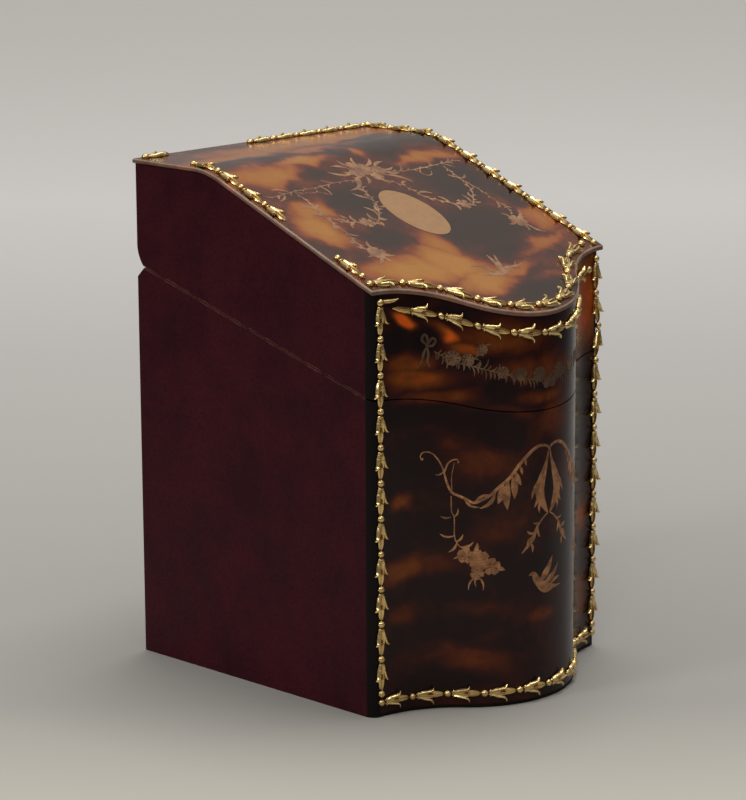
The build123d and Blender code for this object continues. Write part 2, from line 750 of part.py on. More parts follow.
def plate_front_strip():
    """Strip on the plate that follows the serpentine."""

    def place(along, half):
        point, out = front_at(along)
        spot = point - out * (TOP_STRIP_INSET + half)
        return (spot.X, spot.Y)

    def frame_at(along):
        x, y = place(along, 0.0)
        _, out = front_at(along)
        return plate_frame(x, y, atan2(out.X, -out.Y))

    run = front_run(PLATE_FRONT_FROM_LEFT, FRONT_FROM_RIGHT)
    return make_strip(place, frame_at, run, Plane.XY, top_band())


def depth_along_plate(distance):
    """Depth of a point that lies this far from the back along the plate."""
    if distance < FLAT_TOP_DEPTH:
        return Y_BACK - distance
    return BEND_Y - (distance - FLAT_TOP_DEPTH) * cos(radians(TOP_SLOPE))


def plate_length():
    """Length of the plate's side, from the back to the front corner."""
    return FLAT_TOP_DEPTH + (CORNER_DEPTH - FLAT_TOP_DEPTH) / cos(radians(TOP_SLOPE))


def plate_side_strip(side, run):
    """Strip along one side of the plate, with its husks open towards the front."""
    centre = side * (HALF_WIDTH - TOP_STRIP_INSET)

    def place(along, half):
        return (centre + half, depth_along_plate(along))

    def frame_at(along):
        return plate_frame(centre, depth_along_plate(along), radians(-90))

    return make_strip(place, frame_at, run, Plane.XY, top_band())


def plate_back_strip(run):
    """Strip along the back of the plate, with its husks open to the right."""
    centre = Y_BACK - TOP_STRIP_INSET

    def place(along, half):
        return (along, centre + half)

    def frame_at(along):
        return plate_frame(along, centre, 0.0)

    return make_strip(place, frame_at, run, Plane.XY, top_band())


def strips():
    side_length = plate_length() - TOP_STRIP_INSET - BEAD_RADIUS
    side_count, side_pitch = fitted_run(side_length)
    back_length = HALF_WIDTH - TOP_STRIP_INSET - 2 * BEAD_RADIUS - BACK_LEFT_END
    back_count, back_pitch = fitted_run(back_length)
    pieces = upright_strips()
    pieces["base_strip_foot"] = foot_strip()
    pieces["lid_strip_cornice"] = cornice_strip()
    pieces["plate_strip_front"] = plate_front_strip()
    pieces["plate_strip_right"] = plate_side_strip(1, Run(TOP_STRIP_INSET, side_pitch, side_count, True))
    pieces["plate_strip_left_rear"] = plate_side_strip(
        -1, Run(LEFT_REAR_START, MOTIF_PITCH, LEFT_REAR_MOTIFS, False)
    )
    left_front_start = plate_length() - LEFT_FRONT_FROM_CORNER - MOTIF_PITCH * LEFT_FRONT_MOTIFS
    pieces["plate_strip_left_front"] = plate_side_strip(
        -1, Run(left_front_start, MOTIF_PITCH, LEFT_FRONT_MOTIFS, True)
    )
    pieces["plate_strip_back"] = plate_back_strip(Run(BACK_LEFT_END, back_pitch, back_count, True))
    pieces["plate_strip_fragment"] = plate_back_strip(
        Run(FRAGMENT_FROM_LEFT - HALF_WIDTH, MOTIF_PITCH, FRAGMENT_MOTIFS, False)
    )
    return pieces


def hinges():
    bore = PIN_RADIUS + PIN_RUNNING_CLEARANCE
    pieces = {}
    for side, name in ((-1, "left"), (1, "right")):
        pieces[f"hinge_{name}_base_leaf"] = hinge_leaf(side, -1, PIN_RADIUS)
        pieces[f"hinge_{name}_lid_leaf"] = hinge_leaf(side, 1, bore)
        pieces[f"hinge_{name}_pin"] = hinge_pin(side)
    pieces["hinge_screws_base"] = Compound(hinge_screws(-1, -1) + hinge_screws(1, -1))
    pieces["hinge_screws_lid"] = Compound(hinge_screws(-1, 1) + hinge_screws(1, 1))
    return pieces


def main():
    os.makedirs("parts", exist_ok=True)
    pieces = {}
    pieces.update(base_pieces())
    pieces.update(lid_pieces())
    pieces.update(strips())
    pieces.update(hinges())
    for name, piece in pieces.items():
        export_step(piece, os.path.join("parts", name + ".step"))


main()
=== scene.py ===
"""Looks of a small tortoiseshell casket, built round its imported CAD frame.

The casket has a serpentine front and a sloping lid plate of polished shell with gold inlay, burgundy
leather on its other sides, and stamped gilt strips of beads and husks along its edges. All sizes here
are in millimetres in the CAD model's frame: X to the right, the front towards -Y, Z up.
"""

import logging
import math
import random
from abc import ABC, abstractmethod
from dataclasses import dataclass, field
from enum import Enum
from functools import partial
from typing import Callable, Sequence

import bpy
from mathutils import Matrix, Vector


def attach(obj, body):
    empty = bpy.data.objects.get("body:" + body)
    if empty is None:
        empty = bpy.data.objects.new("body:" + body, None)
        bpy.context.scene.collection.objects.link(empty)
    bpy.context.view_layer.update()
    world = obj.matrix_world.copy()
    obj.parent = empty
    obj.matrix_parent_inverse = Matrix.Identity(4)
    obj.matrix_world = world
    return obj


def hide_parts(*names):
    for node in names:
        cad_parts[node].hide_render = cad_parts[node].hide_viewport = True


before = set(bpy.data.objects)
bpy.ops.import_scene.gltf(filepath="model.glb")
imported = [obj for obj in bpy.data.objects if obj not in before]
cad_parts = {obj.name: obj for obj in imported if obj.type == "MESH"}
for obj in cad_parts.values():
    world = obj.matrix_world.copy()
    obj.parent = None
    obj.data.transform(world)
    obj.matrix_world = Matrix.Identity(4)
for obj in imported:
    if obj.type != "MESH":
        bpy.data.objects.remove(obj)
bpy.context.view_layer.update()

MM = 0.001
LOG = logging.getLogger("casket")

Pair = tuple[float, float]
Triple = tuple[float, float, float]
Rgba = tuple[float, float, float, float]
Rows = tuple[tuple[float, ...], ...]
Stops = tuple[tuple[float, str], ...]
Material = bpy.types.Material
Node = bpy.types.Node
Socket = bpy.types.NodeSocket
Adder = Callable[..., Node]
Place = Callable[[float, float, float], Vector]


class Body(Enum):
    """The two bodies of the casket."""

    BASE = "base"
    LID = "lid"


class Slot(Enum):
    """Material slots of the record."""

    GILT = "gilt_brass"
    INLAY = "gold_inlay"
    VELVET = "velvet"
    SCREW = "steel"


def linear(code: str) -> Rgba:
    """Turns an sRGB hex colour into linear values.

    Args:
        code: Colour such as "#a04020".

    Returns:
        Red, green, blue and an alpha of 1.
    """
    parts = [int(code[at:at + 2], 16) / 255 for at in (1, 3, 5)]
    red, green, blue = (p / 12.92 if p <= 0.04045 else ((p + 0.055) / 1.055) ** 2.4 for p in parts)
    return red, green, blue, 1.0


def add_node(tree: bpy.types.NodeTree, kind: str, inputs: Sequence | dict = (), stops: Stops = (),
             **settings: object) -> Node:
    """Adds a node with its settings, values and links.

    Args:
        tree: The node tree.
        kind: Type name of the node, without "ShaderNode".
        inputs: Values of the inputs in use, in their order or by name. A socket, or the first output in
            use of a node, is linked.
        stops: Places and hex colours of a colour ramp.
        settings: Properties of the node.

    Returns:
        The new node.
    """
    node = tree.nodes.new(f"ShaderNode{kind}")
    for name, value in settings.items():
        setattr(node, name, value)
    if isinstance(inputs, dict):
        pairs = [(node.inputs[name], value) for name, value in inputs.items()]
    else:
        pairs = zip([socket for socket in node.inputs if socket.enabled], inputs)
    for socket, value in pairs:
        if isinstance(value, Node):
            value = next(output for output in value.outputs if output.enabled)
        if isinstance(value, Socket):
            tree.links.new(value, socket)
        else:
            socket.default_value = value
    if stops:
        elements = node.color_ramp.elements
        while len(elements) < len(stops):
            elements.new(0.5)
        for element, (place, code) in zip(elements, stops):
            element.position = place
            element.color = linear(code)
    return node


# Shape of the case

@dataclass(frozen=True)
class CaseShape:
    """Outline of the case, with the same sizes as the CAD model."""

    width: float = 78.0
    corner_depth: float = 76.5
    bow: float = 18.0
    nose_radius: float = 25.0
    height: float = 120.0
    flat_top: float = 24.5
    top_slope: float = 22.4
    bend_radius: float = 22.0
    pin_height: float = 94.5
    pin_setback: float = 2.0
    seam_slope: float = 15.9

    @property
    def fall(self) -> float:
        """Slope of the top's front part, in radians."""
        return math.radians(self.top_slope)

    @property
    def seam(self) -> float:
        """Slope of the parting plane, in radians."""
        return math.radians(self.seam_slope)

    @property
    def half(self) -> float:
        """Half of the width."""
        return self.width / 2

    @property
    def y_back(self) -> float:
        """Back face."""
        return (self.corner_depth + self.bow) / 2

    @property
    def y_corner(self) -> float:
        """The two front corners."""
        return self.y_back - self.corner_depth

    @property
    def flank_radius(self) -> float:
        """Radius of the hollow flanks beside the bow."""
        rise = self.nose_radius - self.bow
        return (self.half**2 + rise**2 - self.nose_radius**2) / (2 * self.bow)

    @property
    def turn(self) -> float:
        """Angle that each flank turns through."""
        return math.atan2(self.half, self.flank_radius + self.nose_radius - self.bow)

    @property
    def half_front(self) -> float:
        """Length of the serpentine from its middle to one side."""
        return (self.nose_radius + self.flank_radius) * self.turn

    def front_at(self, along: float) -> tuple[Vector, Vector]:
        """Finds a point of the serpentine.

        Args:
            along: Distance from the middle of the front, positive to the right.

        Returns:
            The point in plan and the outward direction there.
        """
        side = 1 if along >= 0 else -1
        away = abs(along)
        if away < self.nose_radius * self.turn:
            angle = away / self.nose_radius
            x = self.nose_radius * math.sin(angle)
            y = self.nose_radius - self.y_back - self.nose_radius * math.cos(angle)
        elif away < self.half_front:
            angle = (self.half_front - away) / self.flank_radius
            x = self.half - self.flank_radius * math.sin(angle)
            y = self.y_corner - self.flank_radius * (1 - math.cos(angle))
        else:
            angle, x, y = 0.0, self.half + away - self.half_front, self.y_corner
        return Vector((side * x, y, 0)), Vector((side * math.sin(angle), -math.cos(angle), 0))

    def front_distance(self, x: float) -> float:
        """Distance along the serpentine to the point at x, on the flank's outer part."""
        return self.half_front - self.flank_radius * math.asin((self.half - x) / self.flank_radius)

    def front_y(self, x: float) -> float:
        """Depth of the serpentine at x, for the inside of the case.

        Args:
            x: Place to the side of the middle.

        Returns:
            The depth.
        """
        away = min(abs(x), self.half)
        if away < self.nose_radius * math.sin(self.turn):
            return self.nose_radius - self.y_back - math.sqrt(self.nose_radius**2 - away**2)
        reach = math.sqrt(self.flank_radius**2 - (self.half - away) ** 2)
        return self.y_corner - self.flank_radius + reach

    @property
    def bend_start(self) -> float:
        """Depth at which the level part of the top ends."""
        return self.y_back - self.flat_top + self.bend_radius * math.tan(self.fall / 2)

    @property
    def bend_end(self) -> float:
        """Depth at which the slope of the top begins."""
        return self.bend_start - self.bend_radius * math.sin(self.fall)

    def top_height(self, y: float) -> float:
        """Height of the lid plate's top at a depth.

        Args:
            y: The depth.

        Returns:
            The height.
        """
        if y > self.bend_start:
            return self.height
        if y > self.bend_end:
            return self.height - self.bend_radius + math.sqrt(self.bend_radius**2 - (self.bend_start - y) ** 2)
        bent = self.height - self.bend_radius * (1 - math.cos(self.fall))
        return bent - (self.bend_end - y) * math.tan(self.fall)

    def top_fall(self, y: float) -> float:
        """Fall of the lid plate at a depth, in radians.

        Args:
            y: The depth.

        Returns:
            The angle below the level.
        """
        if y > self.bend_start:
            return 0.0
        if y > self.bend_end:
            return math.asin((self.bend_start - y) / self.bend_radius)
        return self.fall

    def seam_height(self, y: float) -> float:
        """Height of the parting plane at a depth."""
        return self.pin_height - (self.y_back - self.pin_setback - y) * math.tan(self.seam)

    def plate_depth(self, distance: float) -> float:
        """Depth of a point at this distance from the back along the plate.

        Args:
            distance: Distance along the plate.

        Returns:
            The depth.
        """
        if distance < self.flat_top:
            return self.y_back - distance
        return self.y_back - self.flat_top - (distance - self.flat_top) * math.cos(self.fall)

    @property
    def plate_length(self) -> float:
        """Length of the plate's side from the back to the front corner."""
        return self.flat_top + (self.corner_depth - self.flat_top) / math.cos(self.fall)

    def on_front(self, across: float, up: float, lift: float) -> Vector:
        """Point of the serpentine front, by its distance from the middle and its height."""
        spot, out = self.front_at(across)
        return Vector((spot.x, spot.y, up)) + out * lift

    def on_plate(self, across: float, up: float, lift: float) -> Vector:
        """Point of the lid plate's top, by its place in plan."""
        fall = self.top_fall(up)
        return Vector((across, up - lift * math.sin(fall), self.top_height(up) + lift * math.cos(fall)))


CASE = CaseShape()


# Meshes

@dataclass
class Draft:
    """Closed shells of a piece while they are being built."""

    points: list[Vector] = field(default_factory=list)
    faces: list[tuple[int, ...]] = field(default_factory=list)

    def loft(self, rings: Sequence[Sequence[Vector]]) -> None:
        """Joins rings of points into a closed shell.

        Args:
            rings: Rings with the same number of points, from one end to the other.
        """
        start, count = len(self.points), len(rings[0])
        for ring in rings:
            self.points.extend(ring)
        for row in range(len(rings) - 1):
            low = start + row * count
            for at in range(count):
                after = (at + 1) % count
                self.faces.append((low + at, low + after, low + count + after, low + count + at))
        self.faces.append(tuple(start + at for at in reversed(range(count))))
        last = start + (len(rings) - 1) * count
        self.faces.append(tuple(last + at for at in range(count)))

    def build(self, name: str, body: Body, slot: Slot, material: Material, sharp: float) -> bpy.types.Object:
        """Turns the draft into an object that rides on a body.

        Args:
            name: Name of the piece.
            body: Body that it moves with.
            slot: Material slot of the record. Not used.
            material: Its finish.
            sharp: Edges that turn more than this many degrees stay sharp.

        Returns:
            The new object.
        """
        mesh = bpy.data.meshes.new(name)
        mesh.from_pydata([point * MM for point in self.points], [], self.faces)
        mesh.validate()
        mesh.polygons.foreach_set("use_smooth", [True] * len(mesh.polygons))
        mesh.set_sharp_from_angle(angle=math.radians(sharp))
        piece = bpy.data.objects.new(name, mesh)
        bpy.context.scene.collection.objects.link(piece)
        with bpy.context.temp_override(active_object=piece, object=piece, selected_objects=[piece]):
            bpy.context.view_layer.objects.active = piece
            bpy.ops.object.mode_set(mode="EDIT")
            bpy.ops.mesh.select_all(action="SELECT")
            bpy.ops.mesh.normals_make_consistent(inside=False)
            bpy.ops.object.mode_set(mode="OBJECT")
        piece.data.materials.append(material)
        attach(piece, body.value)
        LOG.info("built %s with %d faces", name, len(mesh.polygons))
        return piece


def circle(count: int) -> list[Pair]:
    """Evenly spaced places on a circle of radius 1."""
    return [(math.cos(math.tau * part / count), math.sin(math.tau * part / count)) for part in range(count)]


def smooth_line(points: Sequence[Pair], step: float) -> list[Vector]:
    """Draws a smooth line through points.

    Args:
        points: Points in the plane of the ornament.
        step: Greatest distance between two results.

    Returns:
        Points of a Catmull-Rom line.
    """
    knots = [Vector((*point, 0)) for point in points]
    knots = [knots[0] * 2 - knots[1]] + knots + [knots[-1] * 2 - knots[-2]]
    line = []
    for before, start, end, after in zip(knots, knots[1:], knots[2:], knots[3:]):
        parts = max(1, math.ceil((end - start).length / step))
        for part in range(parts):
            t = part / parts
            line.append(0.5 * (2 * start + (end - before) * t
                               + (2 * before - 5 * start + 4 * end - after) * t**2
                               + (3 * start - before - 3 * end + after) * t**3))
    line.append(knots[-2])
    return line


def directions(line: Sequence[Vector]) -> list[Vector]:
    """Unit direction of a line at each of its points."""
    ends = [line[0]] + list(line) + [line[-1]]
    return [(after - before).normalized() for before, after in zip(ends, ends[2:])]


# Finishes

@dataclass(frozen=True)
class Finish(ABC):
    """A procedural material."""

    name: str

    @abstractmethod
    def dress(self, add: Adder, place: Socket) -> Node:
        """Makes the shader.

        Args:
            add: Adds a node to the material.
            place: Object coordinates in millimetres.

        Returns:
            The shader's node.
        """

    def material(self) -> Material:
        """Builds the material.

        Returns:
            The new material, with the shader of this finish.
        """
        made = bpy.data.materials.new(self.name)
        made.use_nodes = True
        made.node_tree.nodes.clear()
        add = partial(add_node, made.node_tree)
        place = add("VectorMath", [add("TexCoord").outputs["Object"], (1 / MM,) * 3], operation="MULTIPLY")
        add("OutputMaterial", [self.dress(add, place.outputs[0])])
        return made


@dataclass(frozen=True)
class Patch:
    """A soft-edged patch of colour in shell, as an ellipse on one face, measured along that face."""

    across: float
    up: float
    wide: float
    high: float
    turn: float = 0.0
    strength: float = 1.0


@dataclass(frozen=True)
class PolishedShell(Finish):
    """Hawksbill shell, pressed flat or bent over heat and polished.

    It gives the eye a deep gloss over clouds of near-black, red-brown and amber. Where it stands proud, a pale band is
    painted along its rounded rim: a painted highlight for the reflection of the bright room, broken up by the rubbing
    marks. Clouds drift over about 10 mm, with soft torn edges of 2 to 3 mm. The polished skin is a little uneven over
    14 mm and has fine rubbing marks.
    """

    plan: bool
    ramp: Stops
    ground: float
    dark: Rows
    amber: Rows
    mottle: float = 0.13
    warp: float = 4.0
    roughness: float = 0.2
    gloss: float = 0.5
    tint: str = "#ffe2ca"
    # The next two give the pale band painted along the rounded rim as a painted highlight: its colour and its strength.
    edge: str = "#c2a893"
    pale_highlight: float = 0.0
    drift_size: float = 8.0
    cloud_size: float = 9.0
    speck_size: float = 2.6
    mark_size: float = 5.0
    wave_size: float = 14.0

    def patches(self, add: Adder, spot: Node, rows: Rows) -> Node | None:
        """Lays soft patches over each other.

        Args:
            add: Adds a node to the material.
            spot: Warped place on the face.
            rows: The values of each patch.

        Returns:
            A value from 0 outside the patches to 1 in their middles.
        """
        total: Node | None = None
        for patch in (Patch(*row) for row in rows):
            across, wide = patch.across, patch.wide
            if not self.plan:
                centre, out = CASE.front_at(across)
                across, wide = centre.x, wide * max(0.3, abs(out.y))
            moved = add("VectorMath", [spot, (across, patch.up, 0)], operation="SUBTRACT")
            turned = add("VectorRotate", {"Vector": moved, "Angle": -math.radians(patch.turn)}, rotation_type="Z_AXIS")
            scaled = add("VectorMath", [turned, (1 / wide, 1 / patch.high, 0)], operation="MULTIPLY")
            reach = add("VectorMath", [scaled], operation="LENGTH")
            soft = add("MapRange", [reach, 1.5, 0.3, 0.0, patch.strength], interpolation_type="SMOOTHSTEP")
            total = soft if total is None else add("Math", [total, soft], operation="MAXIMUM")
        return total

    def dress(self, add: Adder, place: Socket) -> Node:
        """Makes the clouded, glossy shader."""
        parts = add("SeparateXYZ", [place])
        spot = add("CombineXYZ", [parts.outputs[0], parts.outputs[1 if self.plan else 2]])
        drift = add("TexNoise", [spot, 1 / self.drift_size, 2.5, 0.5])
        centred = add("VectorMath", [drift.outputs["Color"], (0.5,) * 3], operation="SUBTRACT")
        shift = add("VectorMath", [centred, (self.warp * 2,) * 3], operation="MULTIPLY")
        warped = add("VectorMath", [spot, shift], operation="ADD")
        cloud = add("TexNoise", {"Vector": warped, "Scale": 1 / self.cloud_size, "Detail": 4.0, "Roughness": 0.55,
                                 "Distortion": 0.5})
        mottle = add("MapRange", [cloud, 0.32, 0.68, self.ground - self.mottle, self.ground + self.mottle],
                     clamp=False)
        lit = add("Mix", [self.patches(add, warped, self.amber), mottle, 0.96], data_type="FLOAT")
        shaded = add("Mix", [self.patches(add, warped, self.dark), lit, 0.08], data_type="FLOAT")
        speck = add("TexNoise", [spot, 1 / self.speck_size, 3.0, 0.6])
        grain = add("Math", [speck, 0.16, -0.08], operation="MULTIPLY_ADD")
        tone = add("Math", [shaded, grain], operation="ADD", use_clamp=True)
        clouds = add("ValToRGB", [tone], stops=self.ramp)
        rub = add("TexNoise", [place, 1 / self.mark_size, 6.0, 0.7])
        # Painted highlight: a pale band where the surface turns over the rounded rim, broken up by the rubbing-mark
        # noise.
        facing = add("SeparateXYZ", [add("TexCoord").outputs["Normal"]])
        upper = add("MapRange", [facing.outputs[2], 0.9, 0.75, 0.0, self.pale_highlight])
        lower = add("MapRange", [facing.outputs[2], -0.15, 0.2, 0.0, rub])
        rim_highlight_mask = add("Math", [upper, lower], operation="MULTIPLY")
        colour = add("Mix", [rim_highlight_mask, clouds, linear(self.edge)], data_type="RGBA")
        wave = add("TexNoise", [place, 1 / self.wave_size, 2.0])
        bump = add("Bump", {"Height": wave, "Strength": 0.12, "Distance": 0.4 * MM})
        dull = add("MapRange", [rub, 0.35, 0.7, self.roughness - 0.05, self.roughness + 0.09])
        return add("BsdfPrincipled", {"Base Color": colour, "Roughness": dull, "Normal": bump, "IOR": 1.54,
                                      "Specular IOR Level": self.gloss, "Specular Tint": linear(self.tint)})


@dataclass(frozen=True)
class DyedLeather(Finish):
    """Goatskin, dyed burgundy and glazed.

    It gives the eye a fine pebbled grain with a dull sheen. A pale band along the seam is a painted highlight, and the
    near-black at the front corners, where it meets the gilt strips, is painted shade.
    """

    colour: str = "#44131d"
    deep: str = "#340e17"
    # Colour of the painted highlight along the seam.
    pale_highlight: str = "#7a5244"
    # Near-black of the painted shade at the front corners.
    corner_shade: str = "#120c0c"
    grain: float = 0.7
    roughness: float = 0.52
    tone_size: float = 16.0
    wear_and_highlight_size: float = 2.5
    seam_highlight_strength: float = 0.4
    corner_width: float = 1.9
    corner_blend: float = 2.4

    def dress(self, add: Adder, place: Socket) -> Node:
        """Makes the grained shader."""
        tone = add("TexNoise", [place, 1 / self.tone_size, 6.0, 0.65])
        base = add("ValToRGB", [tone], stops=((0.35, self.deep), (0.65, self.colour)))
        pebble = add("TexVoronoi", [place, 1 / self.grain], feature="SMOOTH_F1")
        crease = add("MapRange", [pebble, 0.25, 0.75, 1.0, 0.7])
        grained = add("Mix", [1.0, base, crease], data_type="RGBA", blend_type="MULTIPLY")
        parts = add("SeparateXYZ", [place])
        rise, run = math.sin(CASE.seam), math.cos(CASE.seam)
        fall = add("VectorMath", [place, (0, -rise, run)], operation="DOT_PRODUCT")
        pin = CASE.pin_height * run - (CASE.y_back - CASE.pin_setback) * rise
        above = add("Math", [fall, pin], operation="SUBTRACT")
        off = add("Math", [above], operation="ABSOLUTE")
        # Painted highlight: a ragged pale band along the parting plane.
        ragged = add("TexNoise", [place, 1 / self.wear_and_highlight_size, 5.0, 0.7])
        band = add("MapRange", [ragged, 0.35, 0.7, 0.12, 0.6])
        wear_and_highlight_mask = add("Math", [off, band], operation="LESS_THAN")
        dim = add("Math", [wear_and_highlight_mask, self.seam_highlight_strength], operation="MULTIPLY")
        seam = add("Mix", [dim, grained, linear(self.pale_highlight)], data_type="RGBA")
        # Painted shade: near-black within about 2 mm of the front corners, where the leather turns away round the
        # corner.
        front = add("MapRange", [parts.outputs[1], CASE.y_corner + self.corner_blend,
                                 CASE.y_corner + self.corner_width])
        dark = add("Mix", [front, seam, linear(self.corner_shade)], data_type="RGBA")
        bump = add("Bump", {"Height": crease, "Strength": 0.35, "Distance": 0.12 * MM})
        shine = add("MapRange", [tone, 0.3, 0.7, self.roughness - 0.06, self.roughness + 0.08])
        return add("BsdfPrincipled", {"Base Color": dark, "Roughness": shine, "Normal": bump, "IOR": 1.5,
                                      "Specular IOR Level": 0.11})


@dataclass(frozen=True)
class WornGilding(Finish):
    """Brass, stamped and fire-gilt, with rubbed places.

    It gives the eye a warm yellow metal with bright small highlights, coppery where the gold is worn thin. Places that
    lie lower are painted more coppery, and the hollows dark brown, as painted shade. Rubbing differs from one motif to
    the next, so it drifts over about 5 mm.
    """

    gold: str = "#e8cb88"
    copper: str = "#b48a66"
    # Dark brown of the painted shade in the hollows.
    hollow_shade: str = "#22150a"
    roughness: float = 0.22
    thin: float = 0.5
    wear_and_highlight_size: float = 5.0
    hollow_depth: float = 0.8
    dent_size: float = 0.625

    def dress(self, add: Adder, place: Socket) -> Node:
        """Makes the metal shader: gold on what stands out, copper where the gold is worn thin and as painted shade on
        what lies lower, painted brown shade in the hollows.
        """
        wear = add("TexNoise", [place, 1 / self.wear_and_highlight_size, 4.0, 0.6])
        share = add("MapRange", [wear, 0.45, 0.7, 0.0, self.thin])
        # Painted shade: ambient occlusion turns enclosed places more coppery, and the most enclosed ones dark brown.
        recess = add("AmbientOcclusion", {"Distance": self.hollow_depth * MM}, samples=8, only_local=True).outputs["AO"]
        low = add("MapRange", [recess, 0.6, 0.92, 0.75, 0.0])
        copper_wear_and_shade = add("Math", [share, low], operation="ADD", use_clamp=True)
        metal = add("Mix", [copper_wear_and_shade, linear(self.gold), linear(self.copper)], data_type="RGBA")
        shade_mask = add("MapRange", [recess, 0.25, 0.62, 0.9, 0.0])
        colour = add("Mix", [shade_mask, metal, linear(self.hollow_shade)], data_type="RGBA")
        hammer = add("TexNoise", [place, 1 / self.dent_size, 3.0])
        bump = add("Bump", {"Height": hammer, "Strength": 0.4, "Distance": 0.12 * MM})
        dull = add("MapRange", [wear, 0.3, 0.7, self.roughness - 0.05, self.roughness + 0.12])
        return add("BsdfPrincipled", {"Base Color": colour, "Metallic": 1.0, "Roughness": dull, "Normal": bump})


@dataclass(frozen=True)
class EngravedGold(Finish):
    """Gold leaf-thin sheet, let into the shell and engraved with fine lines.

    It gives the eye a matt pinkish gold, broken up by hatching. Real hatching is 0.15 mm apart, and is
    drawn coarser so that it shows.
    """

    gold: str = "#b98a62"
    shade: str = "#6a4630"
    roughness: float = 0.5
    metallic: float = 0.3
    hatch: float = 0.55
    fade: float = 0.7
    cloud_size: float = 1.6
    wear_and_highlight_size: float = 6.0

    def dress(self, add: Adder, place: Socket) -> Node:
        """Makes the hatched shader."""
        lines = add("TexWave", [place, 1 / self.hatch, 4.0, 2.0], bands_direction="DIAGONAL").outputs["Fac"]
        cloud = add("TexNoise", [place, 1 / self.cloud_size, 3.0])
        drift = add("TexNoise", [place, 1 / self.wear_and_highlight_size, 2.0])
        wear_and_highlight_mask = add("MapRange", [drift, 0.35, 0.62, 1 - self.fade, 1.0])
        cut = add("MapRange", [lines, 0.1, 0.6, 0.35, 1.0])
        patchy = add("MapRange", [cloud, 0.38, 0.58, 0.35, 1.0])
        mixed = add("Math", [cut, patchy], operation="MULTIPLY")
        share = add("Math", [mixed, wear_and_highlight_mask], operation="MULTIPLY")
        colour = add("Mix", [share, linear(self.shade), linear(self.gold)], data_type="RGBA")
        bump = add("Bump", {"Height": lines, "Strength": 0.2, "Distance": 0.04 * MM})
        return add("BsdfPrincipled", {"Base Color": colour, "Metallic": self.metallic, "Roughness": self.roughness,
                                      "Normal": bump})


@dataclass(frozen=True)
class PlanedPine(Finish):
    """Red pine boards, planed, stained where they show at the rims.

    It gives the eye straight brown grain lines on a dull ground.
    """

    light: str = "#8a5a38"
    dark: str = "#74482c"
    ring: float = 2.2
    fibre: float = 0.4

    def dress(self, add: Adder, place: Socket) -> Node:
        """Makes the wood shader."""
        long = add("VectorMath", [place, (1.0, 1.0, 0.12)], operation="MULTIPLY")
        rings = add("TexWave", [long, 0.5 / self.ring, 9.0, 4.0], bands_direction="DIAGONAL").outputs["Fac"]
        colour = add("Mix", [rings, linear(self.light), linear(self.dark)], data_type="RGBA")
        fibre = add("TexNoise", [long, 1 / self.fibre, 5.0])
        bump = add("Bump", {"Height": fibre, "Strength": 0.3, "Distance": 0.1 * MM})
        return add("BsdfPrincipled", {"Base Color": colour, "Roughness": 0.6, "Normal": bump})


@dataclass(frozen=True)
class WovenCloth(Finish):
    """Silk or cotton velvet, woven and pasted or laid in.

    It gives the eye a soft sheen, a weave or pile that only just shows, and faded places. Real threads
    are 0.1 mm apart, and are drawn coarser so that they show.
    """

    colour: str = "#8a3a3c"
    faded: str = "#a86058"
    thread: float = 0.5
    pile: bool = False
    sheen: float = 0.3
    roughness: float = 0.55
    fade_size: float = 22.0

    def dress(self, add: Adder, place: Socket) -> Node:
        """Makes the cloth shader."""
        if self.pile:
            weave = add("TexNoise", [place, 1 / self.thread, 6.0, 0.8])
        else:
            warp, weft = (add("TexWave", [place, 0.5 / self.thread, 0.4], bands_direction=way).outputs["Fac"]
                          for way in ("Z", "DIAGONAL"))
            weave = add("Math", [warp, weft], operation="MAXIMUM")
        fade = add("TexNoise", [place, 1 / self.fade_size, 4.0])
        share = add("MapRange", [fade, 0.4, 0.7])
        ground = add("Mix", [share, linear(self.colour), linear(self.faded)], data_type="RGBA")
        shade = add("MapRange", [weave, 0.0, 1.0, 0.78, 1.0])
        colour = add("Mix", [1.0, ground, shade], data_type="RGBA", blend_type="MULTIPLY")
        bump = add("Bump", {"Height": weave, "Strength": 0.4, "Distance": 0.1 * MM})
        return add("BsdfPrincipled", {"Base Color": colour, "Roughness": self.roughness, "Normal": bump,
                                      "Sheen Weight": self.sheen, "Sheen Roughness": 0.4})


